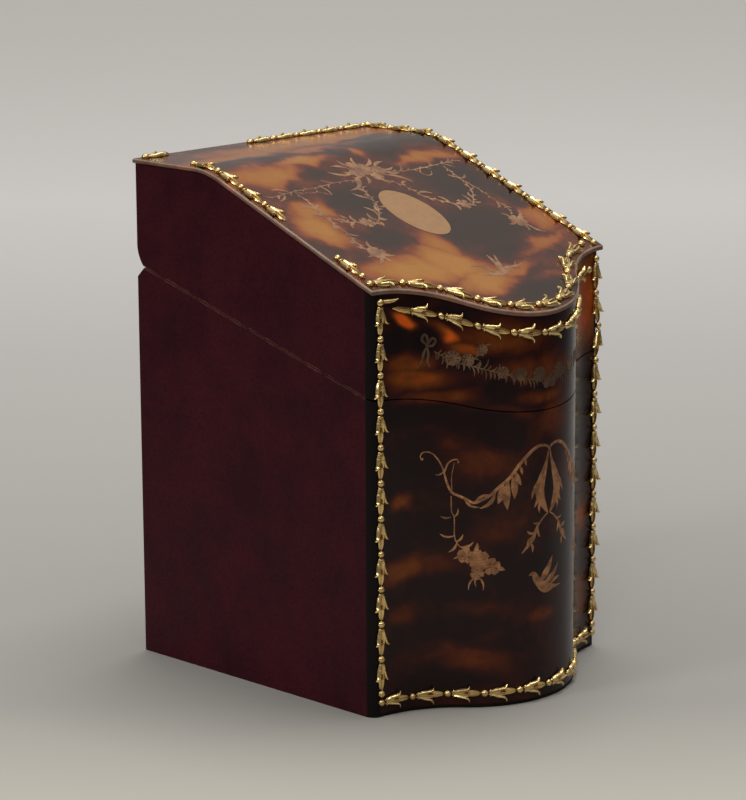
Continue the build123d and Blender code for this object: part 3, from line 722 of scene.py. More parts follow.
@dataclass(frozen=True)
class PaperSweep(Finish):
    """Pale grey background paper, rolled out under and behind the object.

    It gives the eye a matt ground, painted as a gradient of light: a little lighter behind the object and darker in
    front of it, and dark close to the camera as painted shade. Beyond a narrow strip the paper is painted dark as
    painted shade of the dim room, so the sides of the object reflect something dark.
    """

    reach: float = 3000.0
    # Colours by distance along the paper: a painted gradient of light, dark close to the camera as painted shade.
    painted_light_tones: Stops = ((-400, "#4c4944"), (-200, "#bdb9ac"), (-100, "#b7b3a8"), (-35, "#a09d97"), (146, "#aaa7a2"),
                    (353, "#b9b6b2"), (682, "#d9d6d2"), (1628, "#e6e2dd"), (2500, "#d8d4ce"))
    clear: float = 150.0
    spread: float = 0.16
    side_shade: float = 0.2
    edge_blend: float = 220.0
    fibre: float = 2.5

    def dress(self, add: Adder, place: Socket) -> Node:
        """Makes the paper's shader, whose colour drifts with the distance behind the object as painted light, and which
        is painted dark beside the strip as painted shade.
        """
        parts = add("SeparateXYZ", [place])
        start = self.painted_light_tones[0][0]
        away = add("MapRange", [parts.outputs[1], start, start + self.reach])
        stops = [((distance - start) / self.reach, tone) for distance, tone in self.painted_light_tones]
        colour = add("ValToRGB", [away], stops=stops)
        # Painted shade: the paper darkens beyond a strip that widens behind the object.
        aside = add("Math", [parts], operation="ABSOLUTE")
        behind = add("Math", [parts.outputs[1], 0.0], operation="MAXIMUM")
        edge = add("Math", [behind, self.spread, self.clear], operation="MULTIPLY_ADD")
        beyond = add("Math", [aside, edge], operation="SUBTRACT")
        dim = add("MapRange", [beyond, 0.0, self.edge_blend, 1.0, self.side_shade], interpolation_type="SMOOTHSTEP")
        toned = add("Mix", [1.0, colour, dim], data_type="RGBA", blend_type="MULTIPLY")
        fibre = add("TexNoise", [place, 1 / self.fibre, 4.0])
        bump = add("Bump", {"Height": fibre, "Strength": 0.1, "Distance": 0.1 * MM})
        return add("BsdfPrincipled", {"Base Color": toned, "Roughness": 0.75, "Normal": bump,
                                      "Specular IOR Level": 0.2})


PLATE_RAMP = ((0, "#22150f"), (0.2, "#2b1812"), (0.36, "#431c11"), (0.5, "#662b11"), (0.64, "#8a4615"),
              (0.82, "#9a5e1f"), (1, "#a6702a"))
FRONT_RAMP = ((0, "#0d090b"), (0.2, "#1a0d10"), (0.36, "#34130f"), (0.5, "#50220e"), (0.64, "#6e3711"),
              (0.8, "#b04a16"), (1, "#ea621d"))

PLATE_SHELL = PolishedShell(
    "hawksbill_shell_plate",
    plan=True,
    ramp=PLATE_RAMP,
    ground=0.39,
    gloss=0.42,
    # Strength of the painted highlight along the plate's rim.
    pale_highlight=1.15,
    amber=(
        (-25, 17, 14, 4.6, 0, 0.8), (-11, 21, 9, 2.6, 0, 0.85), (-31, -5, 5.5, 7.5, 10, 0.95),
        (-21, -26, 13, 5.5, -8), (-9, -26, 9, 6.8, -35), (-5.4, -18, 3.6, 6, 0, 0.95), (-7, -34, 9, 4.5, 10, 0.95),
        (4, -31.5, 8, 2.4, 8, 0.65), (26, 14.2, 10, 2.3, 0, 0.75), (31.2, -15.2, 4.8, 5, 0, 0.85),
        (23, -24.5, 11, 2.4, 14, 0.6), (13, -37, 6, 1.8, 0, 0.5), (8.3, 21.8, 3, 2.8, 0, 0.75),
        (4, 37, 34, 7, 3, 0.72), (-24, 31, 14, 4.4, 0, 0.66), (-2, 27.5, 9, 2, 0, 0.55), (-27, 1.5, 7, 4, 20, 0.8),
    ),
    dark=(
        (-12.5, 15.4, 4.2, 3.6, 0, 0.7), (2.6, 22.6, 3.6, 2.2, 0, 0.8), (18, 22.4, 8, 5, 6, 0.95),
        (32, 24, 10, 4, 0, 0.85), (-11, 2.5, 8.5, 6, -15), (-17, -13, 7, 4.4, -20, 0.75), (13, -15, 16, 8.4, 6),
        (11, -24, 9, 3, 0, 0.8), (24, 3, 12, 8, 15, 0.9), (6, -41, 12, 4.6, 5), (-36, -13, 3.5, 4, 0, 0.4),
        (-24, 26.6, 13, 1.6, 0, 0.85), (34, -4, 5, 6, 0, 0.7), (-10, 43, 14, 1.2, 0, 0.5),
        (20, 31.5, 9, 2, 10, 0.6),
    ),
)

FRONT_SHELL = PolishedShell(
    "hawksbill_shell_front",
    plan=False,
    ramp=FRONT_RAMP,
    ground=0.25,
    warp=1.5,
    gloss=0.2,
    tint="#ffe4dc",
    amber=(
        (-35.3, 90.6, 4.4, 1.5, -38, 1.05), (-26.3, 87.3, 5, 1.8, -41, 1), (-21, 83, 5, 1.8, -30, 0.62),
        (-33, 77.2, 9, 2.8, -5, 0.6), (-36, 77.8, 6, 2.2, -5, 0.52), (-35, 80.6, 7, 3, 0, 0.58),
        (-13, 86, 13, 4.2, 0, 0.42), (-3, 78, 12, 3.4, 0, 0.44), (-3, 71.4, 7, 1.8, 0, 0.44),
        (-27, 73, 11, 1.8, 0, 0.44), (36, 86, 12, 13, 0, 0.72), (-36, 33.8, 6.5, 2.8, 8, 0.54),
        (-36.6, 49.2, 3.4, 2.2, 25, 0.6), (-17, 57.6, 10, 3.4, -4, 0.3), (-26, 61.4, 4, 2.4, -20, 0.24),
        (-13, 42, 8, 3, 4, 0.28), (-19, 11.4, 11, 2.8, -4, 0.32), (-2, 20.4, 5, 2.2, 0, 0.38),
        (-36.6, 23.4, 4.2, 2.4, 0, 0.34), (-12, 68, 9, 2, 0, 0.36), (2, 66, 7, 4, 0, 0.34),
        (-29, 34.4, 6, 2.4, 0, 0.32), (-20, 24.6, 7, 2, -14, 0.22), (36, 34, 4, 4, 0, 0.6), (36, 14, 4, 6, 0, 0.45),
    ),
    dark=(
        (-33, 57, 8, 6, 0, 0.9), (-17, 67, 10, 2.6, -8, 0.85), (-24, 28, 10, 3, 0, 0.85), (-4, 31, 13, 5, 0, 0.85),
        (-28, 43, 8, 3.4, 0, 0.85), (-14, 73.6, 5, 3, 0, 0.85), (-28, 6.4, 12, 2.2, 0, 0.8), (14, 42, 8, 8, 0, 0.8),
        (36, 60, 7, 12, 0, 0.9), (-30.5, 86, 3.4, 4, -40, 0.9), (-32, 68.6, 10, 2.4, 0, 0.85),
        (-25, 19, 8, 2.4, 0, 0.85), (-36, 41.6, 6, 3, 0, 0.85), (-37.6, 86.4, 3, 2.4, 0, 0.8),
        (-20, 80, 6, 1.8, 0, 0.7),
    ),
)


# Gilt strips

NOMINAL_PITCH = 8.2


@dataclass(frozen=True)
class Run:
    """A run of motifs along a strip, closed by a last bead or not."""

    start: float
    pitch: float
    count: int
    closed: bool

    @property
    def stretch(self) -> float:
        """Pitch as a share of the nominal one."""
        return self.pitch / NOMINAL_PITCH

    @property
    def heads(self) -> list[float]:
        """Places of the beads that begin a motif."""
        return [self.start + self.pitch * at for at in range(self.count)]

    @property
    def beads(self) -> list[float]:
        """Places of all beads."""
        return self.heads + ([self.start + self.pitch * self.count] if self.closed else [])


class Crown(Enum):
    """Sections of a stamped lobe: shares of its half width, and of its height."""

    ROUND = ((-1, 0.1), (-0.78, 0.62), (-0.38, 0.93), (0, 1.0), (0.38, 0.93), (0.78, 0.62), (1, 0.1), (0, 0.0))
    RIDGED = ((-1, 0.15), (-0.82, 0.42), (-0.3, 0.46), (-0.1, 0.95), (0.1, 0.95), (0.3, 0.46), (0.82, 0.42), (1, 0.15),
              (0, 0.0))
    HOLLOW = ((-1, 0.2), (-0.9, 0.8), (-0.66, 1.0), (-0.3, 0.74), (0, 0.68), (0.3, 0.74), (0.66, 1.0), (0.9, 0.8),
              (1, 0.2), (0, 0.0))


@dataclass(frozen=True)
class Lobe:
    """One lobe of a husk, as a line with half widths and heights along it, for the nominal pitch."""

    line: tuple[Triple, ...]
    widths: tuple[float, ...]
    heights: tuple[float, ...]
    crown: Crown = Crown.ROUND


HUSK = (
    Lobe(((0.95, 0, 0), (1.5, 0, 0), (2.3, 0, 0), (3.4, 0, 0), (4.7, 0, 0)), (0.55, 0.74, 0.98, 1.08, 0.92),
         (0.5, 0.7, 0.8, 0.8, 0.6), Crown.HOLLOW),
    Lobe(((3.6, 0, 0), (4.8, 0, 0.04), (5.9, 0, 0.06), (6.8, 0, 0.03), (7.4, 0, 0)), (0.7, 0.78, 0.74, 0.55, 0.2),
         (0.8, 1.0, 0.95, 0.75, 0.4), Crown.RIDGED),
)
SIDE_LOBE = Lobe(((1.7, 0.6, 0), (2.7, 0.84, 0.04), (3.6, 0.98, 0.1), (4.3, 1.12, 0.2), (4.75, 1.5, 0.34),
                  (4.9, 2.2, 0.5)), (0.2, 0.36, 0.4, 0.4, 0.34, 0.1), (0.5, 0.8, 0.92, 0.92, 0.75, 0.4))
# Left over at the left end of the strip under the plate: a husk without its bead, and a lobe bent up from the corner.
STRAY_LOBES = (
    Lobe(((-3.6, 0.5, 0), (-2.2, 0.3, 0.05), (-0.6, 0.1, 0.05), (1.4, 0, 0)), (0.12, 0.55, 0.72, 0.7),
         (0.4, 0.7, 0.75, 0.65), Crown.RIDGED),
    Lobe(((-6.4, 2.1, 0.2), (-5.0, 2.1, 0.25), (-3.4, 2.3, 0.3), (-2.3, 2.7, 0.4)), (0.5, 0.58, 0.44, 0.14),
         (0.75, 0.85, 0.7, 0.4)),
)


@dataclass
class GiltStrip:
    """A stamped strip: a bead, a collar and an open husk, over and over."""

    name: str
    node: str
    body: Body
    run: Run
    place: Place
    seat: float = 0.0
    strays: tuple[Lobe, ...] = ()
    beadless: bool = False
    seed: int = 1
    bead_radius: float = 0.87
    bead_height: float = 1.08
    bead_rings: Rows = ((0.0, 0.9), (0.25, 1.0), (0.5, 0.93), (0.75, 0.72), (0.92, 0.42), (1.0, 0.08))
    collar_place: float = 1.3
    collar_reach: float = 0.92
    collar_thick: float = 0.26
    collar_rise: float = 0.42

    def bead(self, draft: Draft, head: float, size: float) -> None:
        """Adds a round bead.

        Args:
            draft: The mesh.
            head: Place along the strip.
            size: Factor on its radius and height.
        """
        radius = self.bead_radius * size
        draft.loft([[self.place(head + radius * share * c, radius * share * s,
                                self.seat + self.bead_height * level * size) for c, s in circle(16)]
                    for level, share in self.bead_rings])

    def collar(self, draft: Draft, middle: float) -> None:
        """Adds the small ring between the bead and the husk.

        Args:
            draft: The mesh.
            middle: Place along the strip.
        """
        rings = []
        for part in range(9):
            share = part / 8 * 2 - 1
            fat = math.sqrt(max(0.04, 1 - share * share))
            rings.append([self.place(middle + self.collar_thick * fat * c, self.collar_reach * share,
                                     self.seat + self.collar_rise + self.collar_rise * fat * s)
                          for c, s in circle(10)])
        draft.loft(rings)

    def lobe(self, draft: Draft, head: float, lobe: Lobe, side: int = 1, swell: float = 1.0,
             rise: float = 0.0) -> None:
        """Adds one lobe of a husk.

        Args:
            draft: The mesh.
            head: Place of the motif's bead.
            lobe: Line, widths and heights.
            side: -1 to lay it on the other side of the middle.
            swell: Factor on its reach to the side.
            rise: Lift of its far end.
        """
        parts = 3 * (len(lobe.line) - 1)
        line = [Vector((u * self.run.stretch, v * side * swell, w)) for u, v, w in lobe.line]
        rings = []
        for part in range(parts + 1):
            at = part / 3
            low = min(int(at), len(line) - 2)
            share = at - low
            centre = line[low].lerp(line[low + 1], share)
            heading = (line[low + 1] - line[low]).normalized()
            wide, high = (row[low] * (1 - share) + row[low + 1] * share for row in (lobe.widths, lobe.heights))
            lift = centre.z + rise * (part / parts) ** 2
            rings.append([self.place(head + centre.x - heading.y * across * wide,
                                     centre.y + heading.x * across * wide, self.seat + lift + high * level)
                          for across, level in lobe.crown.value])
        draft.loft(rings)

    def build(self, material: Material) -> None:
        """Builds the strip and lets it stand for its CAD node.

        Args:
            material: Finish of the strip.
        """
        chance = random.Random(self.seed)
        draft = Draft()
        for head in self.run.beads[int(self.beadless):]:
            self.bead(draft, head, chance.uniform(0.93, 1.04))
        for head in self.run.heads:
            self.collar(draft, head + self.collar_place * self.run.stretch)
            for lobe in HUSK:
                self.lobe(draft, head, lobe)
            for side in (-1, 1):
                self.lobe(draft, head, SIDE_LOBE, side, chance.uniform(0.8, 1.05), chance.uniform(-0.05, 0.15))
        for lobe in self.strays:
            self.lobe(draft, self.run.start, lobe)
        piece = draft.build(self.name, self.body, Slot.GILT, material, 50)
        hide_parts(self.node)


@dataclass
class GiltStrips:
    """All stamped strips of the casket, laid out as in the CAD model."""

    pitch: float = NOMINAL_PITCH
    corner_inset: float = 2.2
    foot_height: float = 3.5
    cornice_drop: float = 5.0
    cornice_from_left: float = 9.3
    plate_front_from_left: float = 1.1
    front_from_right: float = 5.5
    upright_drop: float = 3.1
    top_inset: float = 1.8
    bead_radius: float = 0.85
    bead_to_foot: float = 2.1
    standoff: float = 0.1
    left_rear_start: float = 18.0
    left_front_from_corner: float = 5.1
    back_end: float = -3.5
    fragment_from_left: float = 1.5
    knock: float = 1.7
    knock_place: float = 17.0
    knock_length: float = 5.0

    def fitted(self, length: float) -> tuple[int, float]:
        """Number and pitch of the motifs that fill a length."""
        count = max(1, round(length / self.pitch))
        return count, length / count

    def along_front(self, from_left: float, from_right: float) -> Run:
        """Run along the serpentine between two distances from its corners."""
        count, pitch = self.fitted(2 * CASE.half_front - from_left - from_right)
        return Run(from_left - CASE.half_front, pitch, count, True)

    def on_corner(self, top: float, side: int, u: float, v: float, w: float) -> Vector:
        """Finds a point of a strip down a front corner. The right one is knocked outwards near the seam.

        Args:
            top: Height at which the strip begins.
            side: -1 for the left corner, 1 for the right one.
            u: Distance down the strip.
            v: Distance to the right of its middle.
            w: Height above the shell.

        Returns:
            The point in space.
        """
        spot, out = CASE.front_at(side * CASE.front_distance(CASE.half - self.corner_inset))
        off = self.knock * math.exp(-((u - self.knock_place) / self.knock_length) ** 2) if side > 0 else 0.0
        return spot + Vector((-out.y, out.x, 0)) * v + out * w + Vector((off, 0.3 * off, top - u))

    def on_foot(self, u: float, v: float, w: float) -> Vector:
        """Point of the foot strip."""
        return CASE.on_front(u, self.foot_height + v, w)

    def on_cornice(self, u: float, v: float, w: float) -> Vector:
        """Point of the strip under the plate, which follows its slope."""
        return CASE.on_front(u, CASE.top_height(CASE.front_at(u)[0].y) - self.cornice_drop + v, w)

    def on_plate_front(self, u: float, v: float, w: float) -> Vector:
        """Point of the plate's strip that follows the serpentine."""
        spot, out = CASE.front_at(u)
        inside = spot - out * (self.top_inset + v)
        return CASE.on_plate(inside.x, inside.y, w)

    def on_plate_side(self, side: int, u: float, v: float, w: float) -> Vector:
        """Point of a strip on the plate's left or right side."""
        return CASE.on_plate(side * (CASE.half - self.top_inset) + v, CASE.plate_depth(u), w)

    def on_plate_back(self, u: float, v: float, w: float) -> Vector:
        """Point of the strips on the plate's back."""
        return CASE.on_plate(u, CASE.y_back - self.top_inset + v, w)

    def uprights(self) -> list[GiltStrip]:
        """The corner strips, two on the lid and two on the base."""
        top = CASE.top_height(CASE.y_corner) - self.upright_drop
        count, pitch = self.fitted(top - self.foot_height - self.bead_to_foot)
        on_lid = 1 + int((top - self.bead_radius - CASE.seam_height(CASE.y_corner)) / pitch)
        parts = ((Body.LID, 11, Run(0.0, pitch, on_lid, False)),
                 (Body.BASE, 21, Run(on_lid * pitch, pitch, count - on_lid, True)))
        return [GiltStrip(f"gilt_corner_{body.value}_{name}", f"{body.value}_strip_{name}", body, run,
                          partial(self.on_corner, top, side), self.standoff, seed=seed + side)
                for side, name in ((-1, "left"), (1, "right")) for body, seed, run in parts]

    def front_strips(self) -> list[GiltStrip]:
        """The strip along the foot, and the one under the plate."""
        gap = CASE.half_front - CASE.front_distance(CASE.half - self.corner_inset)
        return [
            GiltStrip("gilt_foot", "base_strip_foot", Body.BASE, self.along_front(gap, gap), self.on_foot,
                      self.standoff, seed=31),
            GiltStrip("gilt_cornice", "lid_strip_cornice", Body.LID,
                      self.along_front(self.cornice_from_left, self.front_from_right), self.on_cornice,
                      self.standoff, STRAY_LOBES, beadless=True, seed=33),
        ]

    def plate_strips(self) -> list[GiltStrip]:
        """The strips on the lid plate."""
        side_count, side_pitch = self.fitted(CASE.plate_length - self.top_inset - self.bead_radius)
        left_front_start = CASE.plate_length - self.left_front_from_corner - self.pitch
        back_count, back_pitch = self.fitted(CASE.half - self.top_inset - 2 * self.bead_radius - self.back_end)
        on_left, on_right = partial(self.on_plate_side, -1), partial(self.on_plate_side, 1)
        rows = (
            ("front", self.along_front(self.plate_front_from_left, self.front_from_right), self.on_plate_front),
            ("right", Run(self.top_inset, side_pitch, side_count, True), on_right),
            ("left_rear", Run(self.left_rear_start, self.pitch, 4, False), on_left),
            ("left_front", Run(left_front_start, self.pitch, 1, True), on_left),
            ("back", Run(self.back_end, back_pitch, back_count, True), self.on_plate_back),
            ("fragment", Run(self.fragment_from_left - CASE.half, self.pitch, 1, False), self.on_plate_back),
        )
        return [GiltStrip(f"gilt_plate_{name}", f"plate_strip_{name}", Body.LID, run, place, seed=seed)
                for seed, (name, run, place) in enumerate(rows, 41)]

    def build(self, material: Material) -> None:
        """Builds every strip."""
        for strip in self.uprights() + self.front_strips() + self.plate_strips():
            strip.build(material)


# Gold inlay

@dataclass
class Inlay(ABC):
    """Gold ornament let into one face of shell, as thin plates that stand a hair proud.

    On the two fronts its places are given for the left side, and mirror is -1 while the right side is laid.
    """

    name: str
    body: Body
    surface: Place
    proud: float = 0.05
    sunk: float = 0.05
    step: float = 0.5
    finest: float = 0.04
    mirror: int = 1
    draft: Draft = field(default_factory=Draft)

    def ribbon(self, points: Sequence[Pair], widths: Sequence[float]) -> None:
        """Lays a band along a smooth line.

        Args:
            points: Points of its middle line.
            widths: Half widths, spread evenly along it.
        """
        line = smooth_line([(across * self.mirror, up) for across, up in points], self.step)
        rings = []
        for at, (spot, heading) in enumerate(zip(line, directions(line))):
            place = at / (len(line) - 1) * (len(widths) - 1)
            low = min(int(place), len(widths) - 2)
            wide = max(self.finest, widths[low] + (widths[low + 1] - widths[low]) * (place - low))
            side = Vector((-heading.y, heading.x, 0)) * wide
            left, right = spot + side, spot - side
            section = ((left, -self.sunk), (left, self.proud * 0.6), (spot, self.proud), (right, self.proud * 0.6),
                       (right, -self.sunk))
            rings.append([self.surface(edge.x, edge.y, lift) for edge, lift in section])
        self.draft.loft(rings)

    def leaf(self, root: Pair, tip: Pair, wide: float, bow: float = 0.15) -> None:
        """Lays a pointed leaf.

        Args:
            root: Place of its stalk.
            tip: Place of its point.
            wide: Half width at its fattest.
            bow: How far it bulges to its left, as a share of its length.
        """
        along = (tip[0] - root[0], tip[1] - root[1])
        points = [(root[0] + along[0] * part / 3 - along[1] * bow * bulge,
                   root[1] + along[1] * part / 3 + along[0] * bow * bulge)
                  for part, bulge in enumerate((0, 0.9, 0.9, 0))]
        self.ribbon(points, (0.08, wide * 0.75, wide, wide * 0.7, 0.04))

    def leaves(self, ends: Rows, bow: float = 0.15) -> None:
        """Lays pointed leaves, each given by its root, its tip and its half width."""
        for number, (x, y, tip_x, tip_y, wide) in enumerate(ends):
            self.leaf((x, y), (tip_x, tip_y), wide, -bow if number % 2 else bow)

    def spray(self, points: Sequence[Pair], count: int, length: float, wide: float, spread: float,
              stem: float = 0.16, seed: int = 0) -> None:
        """Lays a stem with leaves along both sides.

        Args:
            points: Points of the stem.
            count: Number of leaves.
            length: Length of a leaf.
            wide: Half width of a leaf.
            spread: Angle between stem and leaf.
            stem: Half width of the stem.
            seed: Seed of the leaves' small differences.
        """
        chance = random.Random(seed)
        self.ribbon(points, (stem, stem * 1.2, stem * 0.7))
        line = smooth_line(points, 0.3)
        headings = directions(line)
        for number in range(count):
            at = round((number + 0.6) / count * (len(line) - 1))
            side = 1 if number % 2 else -1
            angle = math.atan2(headings[at].y, headings[at].x) + math.radians(side * spread * chance.uniform(0.7, 1.3))
            long = length * chance.uniform(0.65, 1.2)
            root = (line[at].x, line[at].y)
            tip = (root[0] + long * math.cos(angle), root[1] + long * math.sin(angle))
            self.leaf(root, tip, wide * chance.uniform(0.75, 1.2), -side * 0.14)

    def blossom(self, centre: Pair, radius: float, petals: int, turn: float, wide: float) -> None:
        """Lays a flower with a round middle.

        Args:
            centre: Middle of the flower.
            radius: Reach of its petals.
            petals: Number of petals.
            turn: Degrees by which it is turned.
            wide: Half width of a petal, as a share of the radius.
        """
        for number in range(petals):
            angle = math.radians(turn + 360 * number / petals)
            inner, outer = ((centre[0] + reach * math.cos(angle), centre[1] + reach * math.sin(angle))
                            for reach in (0.28 * radius, radius))
            middle = ((inner[0] + outer[0]) / 2, (inner[1] + outer[1]) / 2)
            self.ribbon((inner, middle, outer), (0.15 * radius, wide * radius, 0.3 * radius))
        self.disc(centre, 0.3 * radius)

    def disc(self, centre: Pair, radius: float) -> None:
        """Lays a small round, as a flower's middle or a bead at the end of a scroll.

        Args:
            centre: Its middle.
            radius: Its radius.
        """
        top = self.proud * 1.6
        rings = ((1.0, -self.sunk), (1.0, self.proud * 0.8), (0.6, top), (0.1, top))
        self.draft.loft([[self.surface((centre[0] + radius * share * c) * self.mirror,
                                       centre[1] + radius * share * s, lift) for c, s in circle(12)]
                         for share, lift in rings])

    def both_sides(self, *parts: Callable[[], None]) -> None:
        """Lays parts of the design on the left side of the middle, and then on the right side.

        Args:
            parts: Methods that lay them.
        """
        for self.mirror in (1, -1):
            for part in parts:
                part()
        self.mirror = 1

    @abstractmethod
    def lay(self) -> None:
        """Lays the whole design."""

    def build(self, material: Material) -> None:
        """Lays the design and builds the inlay of the face."""
        self.lay()
        self.draft.build(self.name, self.body, Slot.INLAY, material, 30)


@dataclass
class PlateInlay(Inlay):
    """Garlands, a bunch of flowers and a bird on the lid plate."""

    name: str = "inlay_plate"
    body: Body = Body.LID
    surface: Place = CASE.on_plate

    def branches(self) -> None:
        """The level branch on each side of the flowers."""
        self.spray(((-0.4, 10.8), (-3.9, 9.9), (-10.1, 10.1), (-17.1, 9.4), (-24.3, 9.3), (-32.4, 8.4)), 15, 2, 0.27,
                   28, seed=2)
        self.spray(((-24.7, 9), (-21.6, 7.9), (-18.1, 7.6), (-15.6, 5.8)), 6, 1.3, 0.18, 40, 0.1, seed=12)
        self.spray(((6.6, 11.7), (11.9, 10.5), (18.4, 10.3), (27.2, 10.9), (33.3, 11.1)), 13, 2, 0.27, 28, seed=3)
        self.ribbon(((18.7, 10.2), (17.4, 8.6), (18.2, 7.2), (19.9, 7.4), (20.9, 8.6)), (0.12, 0.2, 0.24, 0.16, 0.1))
        self.leaves(((-16, 9.7, -15.5, 6, 0.34), (-26, 9.4, -30.4, 11, 0.3), (-28, 9.2, -31.8, 6.6, 0.3),
                     (28, 10.9, 31.4, 13, 0.28), (26, 10.8, 29.4, 8.4, 0.3), (12, 10.6, 14.4, 12.8, 0.26),
                     (-10, 10.1, -13.2, 12, 0.3), (22, 10.4, 24, 12.6, 0.24)))

    def swags(self) -> None:
        """The hanging garlands beside the oval."""
        left = ((-25, 1.5), (-24.5, -2), (-22, -4.8), (-18.3, -5.7), (-15.2, -7.3), (-11.8, -5.5), (-7.9, -1.3),
                (-6.4, 1.8), (-5.5, 5), (-4.1, 7.8))
        right = ((3.6, 8.8), (6.9, 5.7), (8.4, 1.8), (8.8, -0.5), (11.6, -2.9), (15.2, -5.4), (18.8, -6.6),
                 (21.6, -4.4), (24.6, -1.2), (26.4, 3.4))
        self.spray(left, 28, 1.8, 0.3, 44, 0.16, seed=4)
        self.spray(right, 26, 1.8, 0.3, 44, 0.16, seed=6)
        self.blossom((-16.4, -6.2), 1.9, 6, 20, 0.3)
        self.blossom((17, -5.7), 1.9, 6, 40, 0.3)
        self.leaves(((-20.2, -3.6, -20.9, -1.4, 0.4), (-21.6, -5, -22.8, -2.9, 0.36), (-19, -5.4, -18.5, -2.6, 0.4),
                     (-20, -5.6, -22.2, -7.4, 0.42), (-13.4, -6, -13.1, -2.9, 0.42), (-12.2, -5.6, -9.9, -6.2, 0.34),
                     (-13, -6.4, -13.4, -8.6, 0.4), (-10.4, -4.2, -12, -0.4, 0.46), (-9.2, -2.9, -7.6, -0.3, 0.38),
                     (-7.6, -1.2, -4.2, -0.9, 0.44), (-6.2, 2.6, -9.8, 5.5, 0.46), (-5.6, 4.6, -7, 6.8, 0.36),
                     (8.4, 1.2, 12.4, 0.2, 0.46), (13.6, -4.2, 12.5, -1.2, 0.4), (14.4, -5, 13.4, -7.8, 0.42),
                     (19.6, -5.6, 19.8, -2, 0.38), (21.8, -4, 22.9, -1.6, 0.34), (20.4, -5.4, 22.6, -6, 0.36),
                     (7.2, 5, 10.2, 6.4, 0.36), (-24.8, 1.8, -28.8, 3, 0.42), (-24.8, 1.6, -22.6, 3, 0.3)))

    def drops(self) -> None:
        """The straight drops on the outer sides, with a flower at the end of each."""
        self.spray(((-24.5, 9), (-24.5, 3.7), (-25.5, 1.1), (-25.4, -2.9), (-25.9, -9.4), (-26.7, -14.1),
                    (-26.4, -16)), 18, 1.7, 0.26, 40, seed=7)
        self.spray(((26.6, 9.9), (26.2, 3.7), (27.1, -1.1), (27.2, -5.6), (27.7, -9), (26.9, -12)), 17, 1.6, 0.26, 40,
                   seed=8)
        self.blossom((-24.7, -17.4), 2.4, 7, 10, 0.3)
        self.blossom((25.4, -15.4), 2.4, 7, 30, 0.3)
        self.leaves(((-25.6, -16.4, -28.6, -18.2, 0.4), (-26.2, -15.8, -28.2, -13.9, 0.42),
                     (-24.4, -15.6, -23.4, -12.7, 0.44), (-23.6, -17.8, -20.9, -19.3, 0.42),
                     (-25.4, -18.6, -28, -21.2, 0.42), (-24.2, -18.8, -23.6, -21.4, 0.36),
                     (24.2, -15.4, 21.2, -15.9, 0.42), (26.4, -14.2, 30, -10.9, 0.46),
                     (25.2, -16.6, 24.6, -19.6, 0.4), (26.6, -16.6, 28.6, -21.2, 0.44),
                     (26.6, -15.2, 29.4, -14.4, 0.36), (24.8, -13.8, 23.2, -11.4, 0.4), (26.3, 4.6, 24.2, 6.4, 0.34),
                     (26.4, 4, 29.2, 5.4, 0.34), (27.2, -6.6, 24.9, -9.4, 0.38), (27.4, -8, 29, -10.2, 0.34),
                     (-25.6, -4, -28.2, -6.6, 0.4), (-25.8, -8, -23.4, -10.4, 0.4), (-26.2, -11, -28.8, -12.4, 0.4),
                     (-25.4, -1, -27.9, -0.6, 0.34)))

    def flowers(self) -> None:
        """The bunch of flowers above the oval, with leaves all round."""
        for centre, radius, turn in (((2.6, 13.4), 2.6, 12), ((6.4, 12.2), 2, 40), ((-0.6, 12.4), 1.9, 0),
                                     ((3.8, 10), 1.7, 25), ((0.9, 15.4), 1.6, 30)):
            self.blossom(centre, radius, 8, turn, 0.26)
        self.leaves(((-1.4, 12.6, -8.6, 14.6, 0.5), (-0.6, 13.8, -5.6, 16.4, 0.5), (0.4, 14.8, -1.3, 18.5, 0.46),
                     (4.2, 14.6, 8.4, 17.4, 0.52), (6.6, 13.4, 11.3, 15.2, 0.5), (7.2, 11.8, 11.5, 10, 0.5),
                     (5.6, 10.2, 11.6, 5.6, 0.52), (3.6, 9.4, 5.6, 6.7, 0.42), (0.6, 10.6, -1.7, 7.7, 0.48),
                     (-0.6, 11.2, -5, 6.8, 0.46), (-1.4, 11.6, -9.2, 6.2, 0.46), (-1.6, 12, -5.4, 11.8, 0.4),
                     (2.6, 15.4, 3.8, 18.6, 0.42), (7, 12.6, 11.9, 12.6, 0.4), (-1, 13.2, -4.4, 13.6, 0.4)))

    def bird(self) -> None:
        """A small flying bird in front of the oval."""
        self.ribbon(((-5.4, -31.6), (-4.6, -31.8), (-2.2, -31.9), (0.4, -32.3), (3.9, -31), (9.4, -30.5)),
                    (0.08, 0.5, 0.85, 0.95, 0.6, 0.32, 0.12))
        self.ribbon(((0.6, -31.8), (1.8, -30.2), (2.6, -28.4), (3.2, -25.2)), (0.5, 0.7, 0.52, 0.08))
        self.ribbon(((1.4, -31.4), (3, -29.4), (5.2, -25.6)), (0.4, 0.5, 0.08))
        self.ribbon(((-1.2, -31.4), (-1.8, -29.8), (-3, -28.4), (-5.2, -28)), (0.4, 0.5, 0.3, 0.06))
        self.leaves(((3.6, -31.1, 8.6, -32, 0.3), (3.6, -31, 8.4, -29.2, 0.26)))

    def lay(self) -> None:
        """Lays the whole design."""
        self.branches()
        self.swags()
        self.drops()
        self.flowers()
        self.bird()


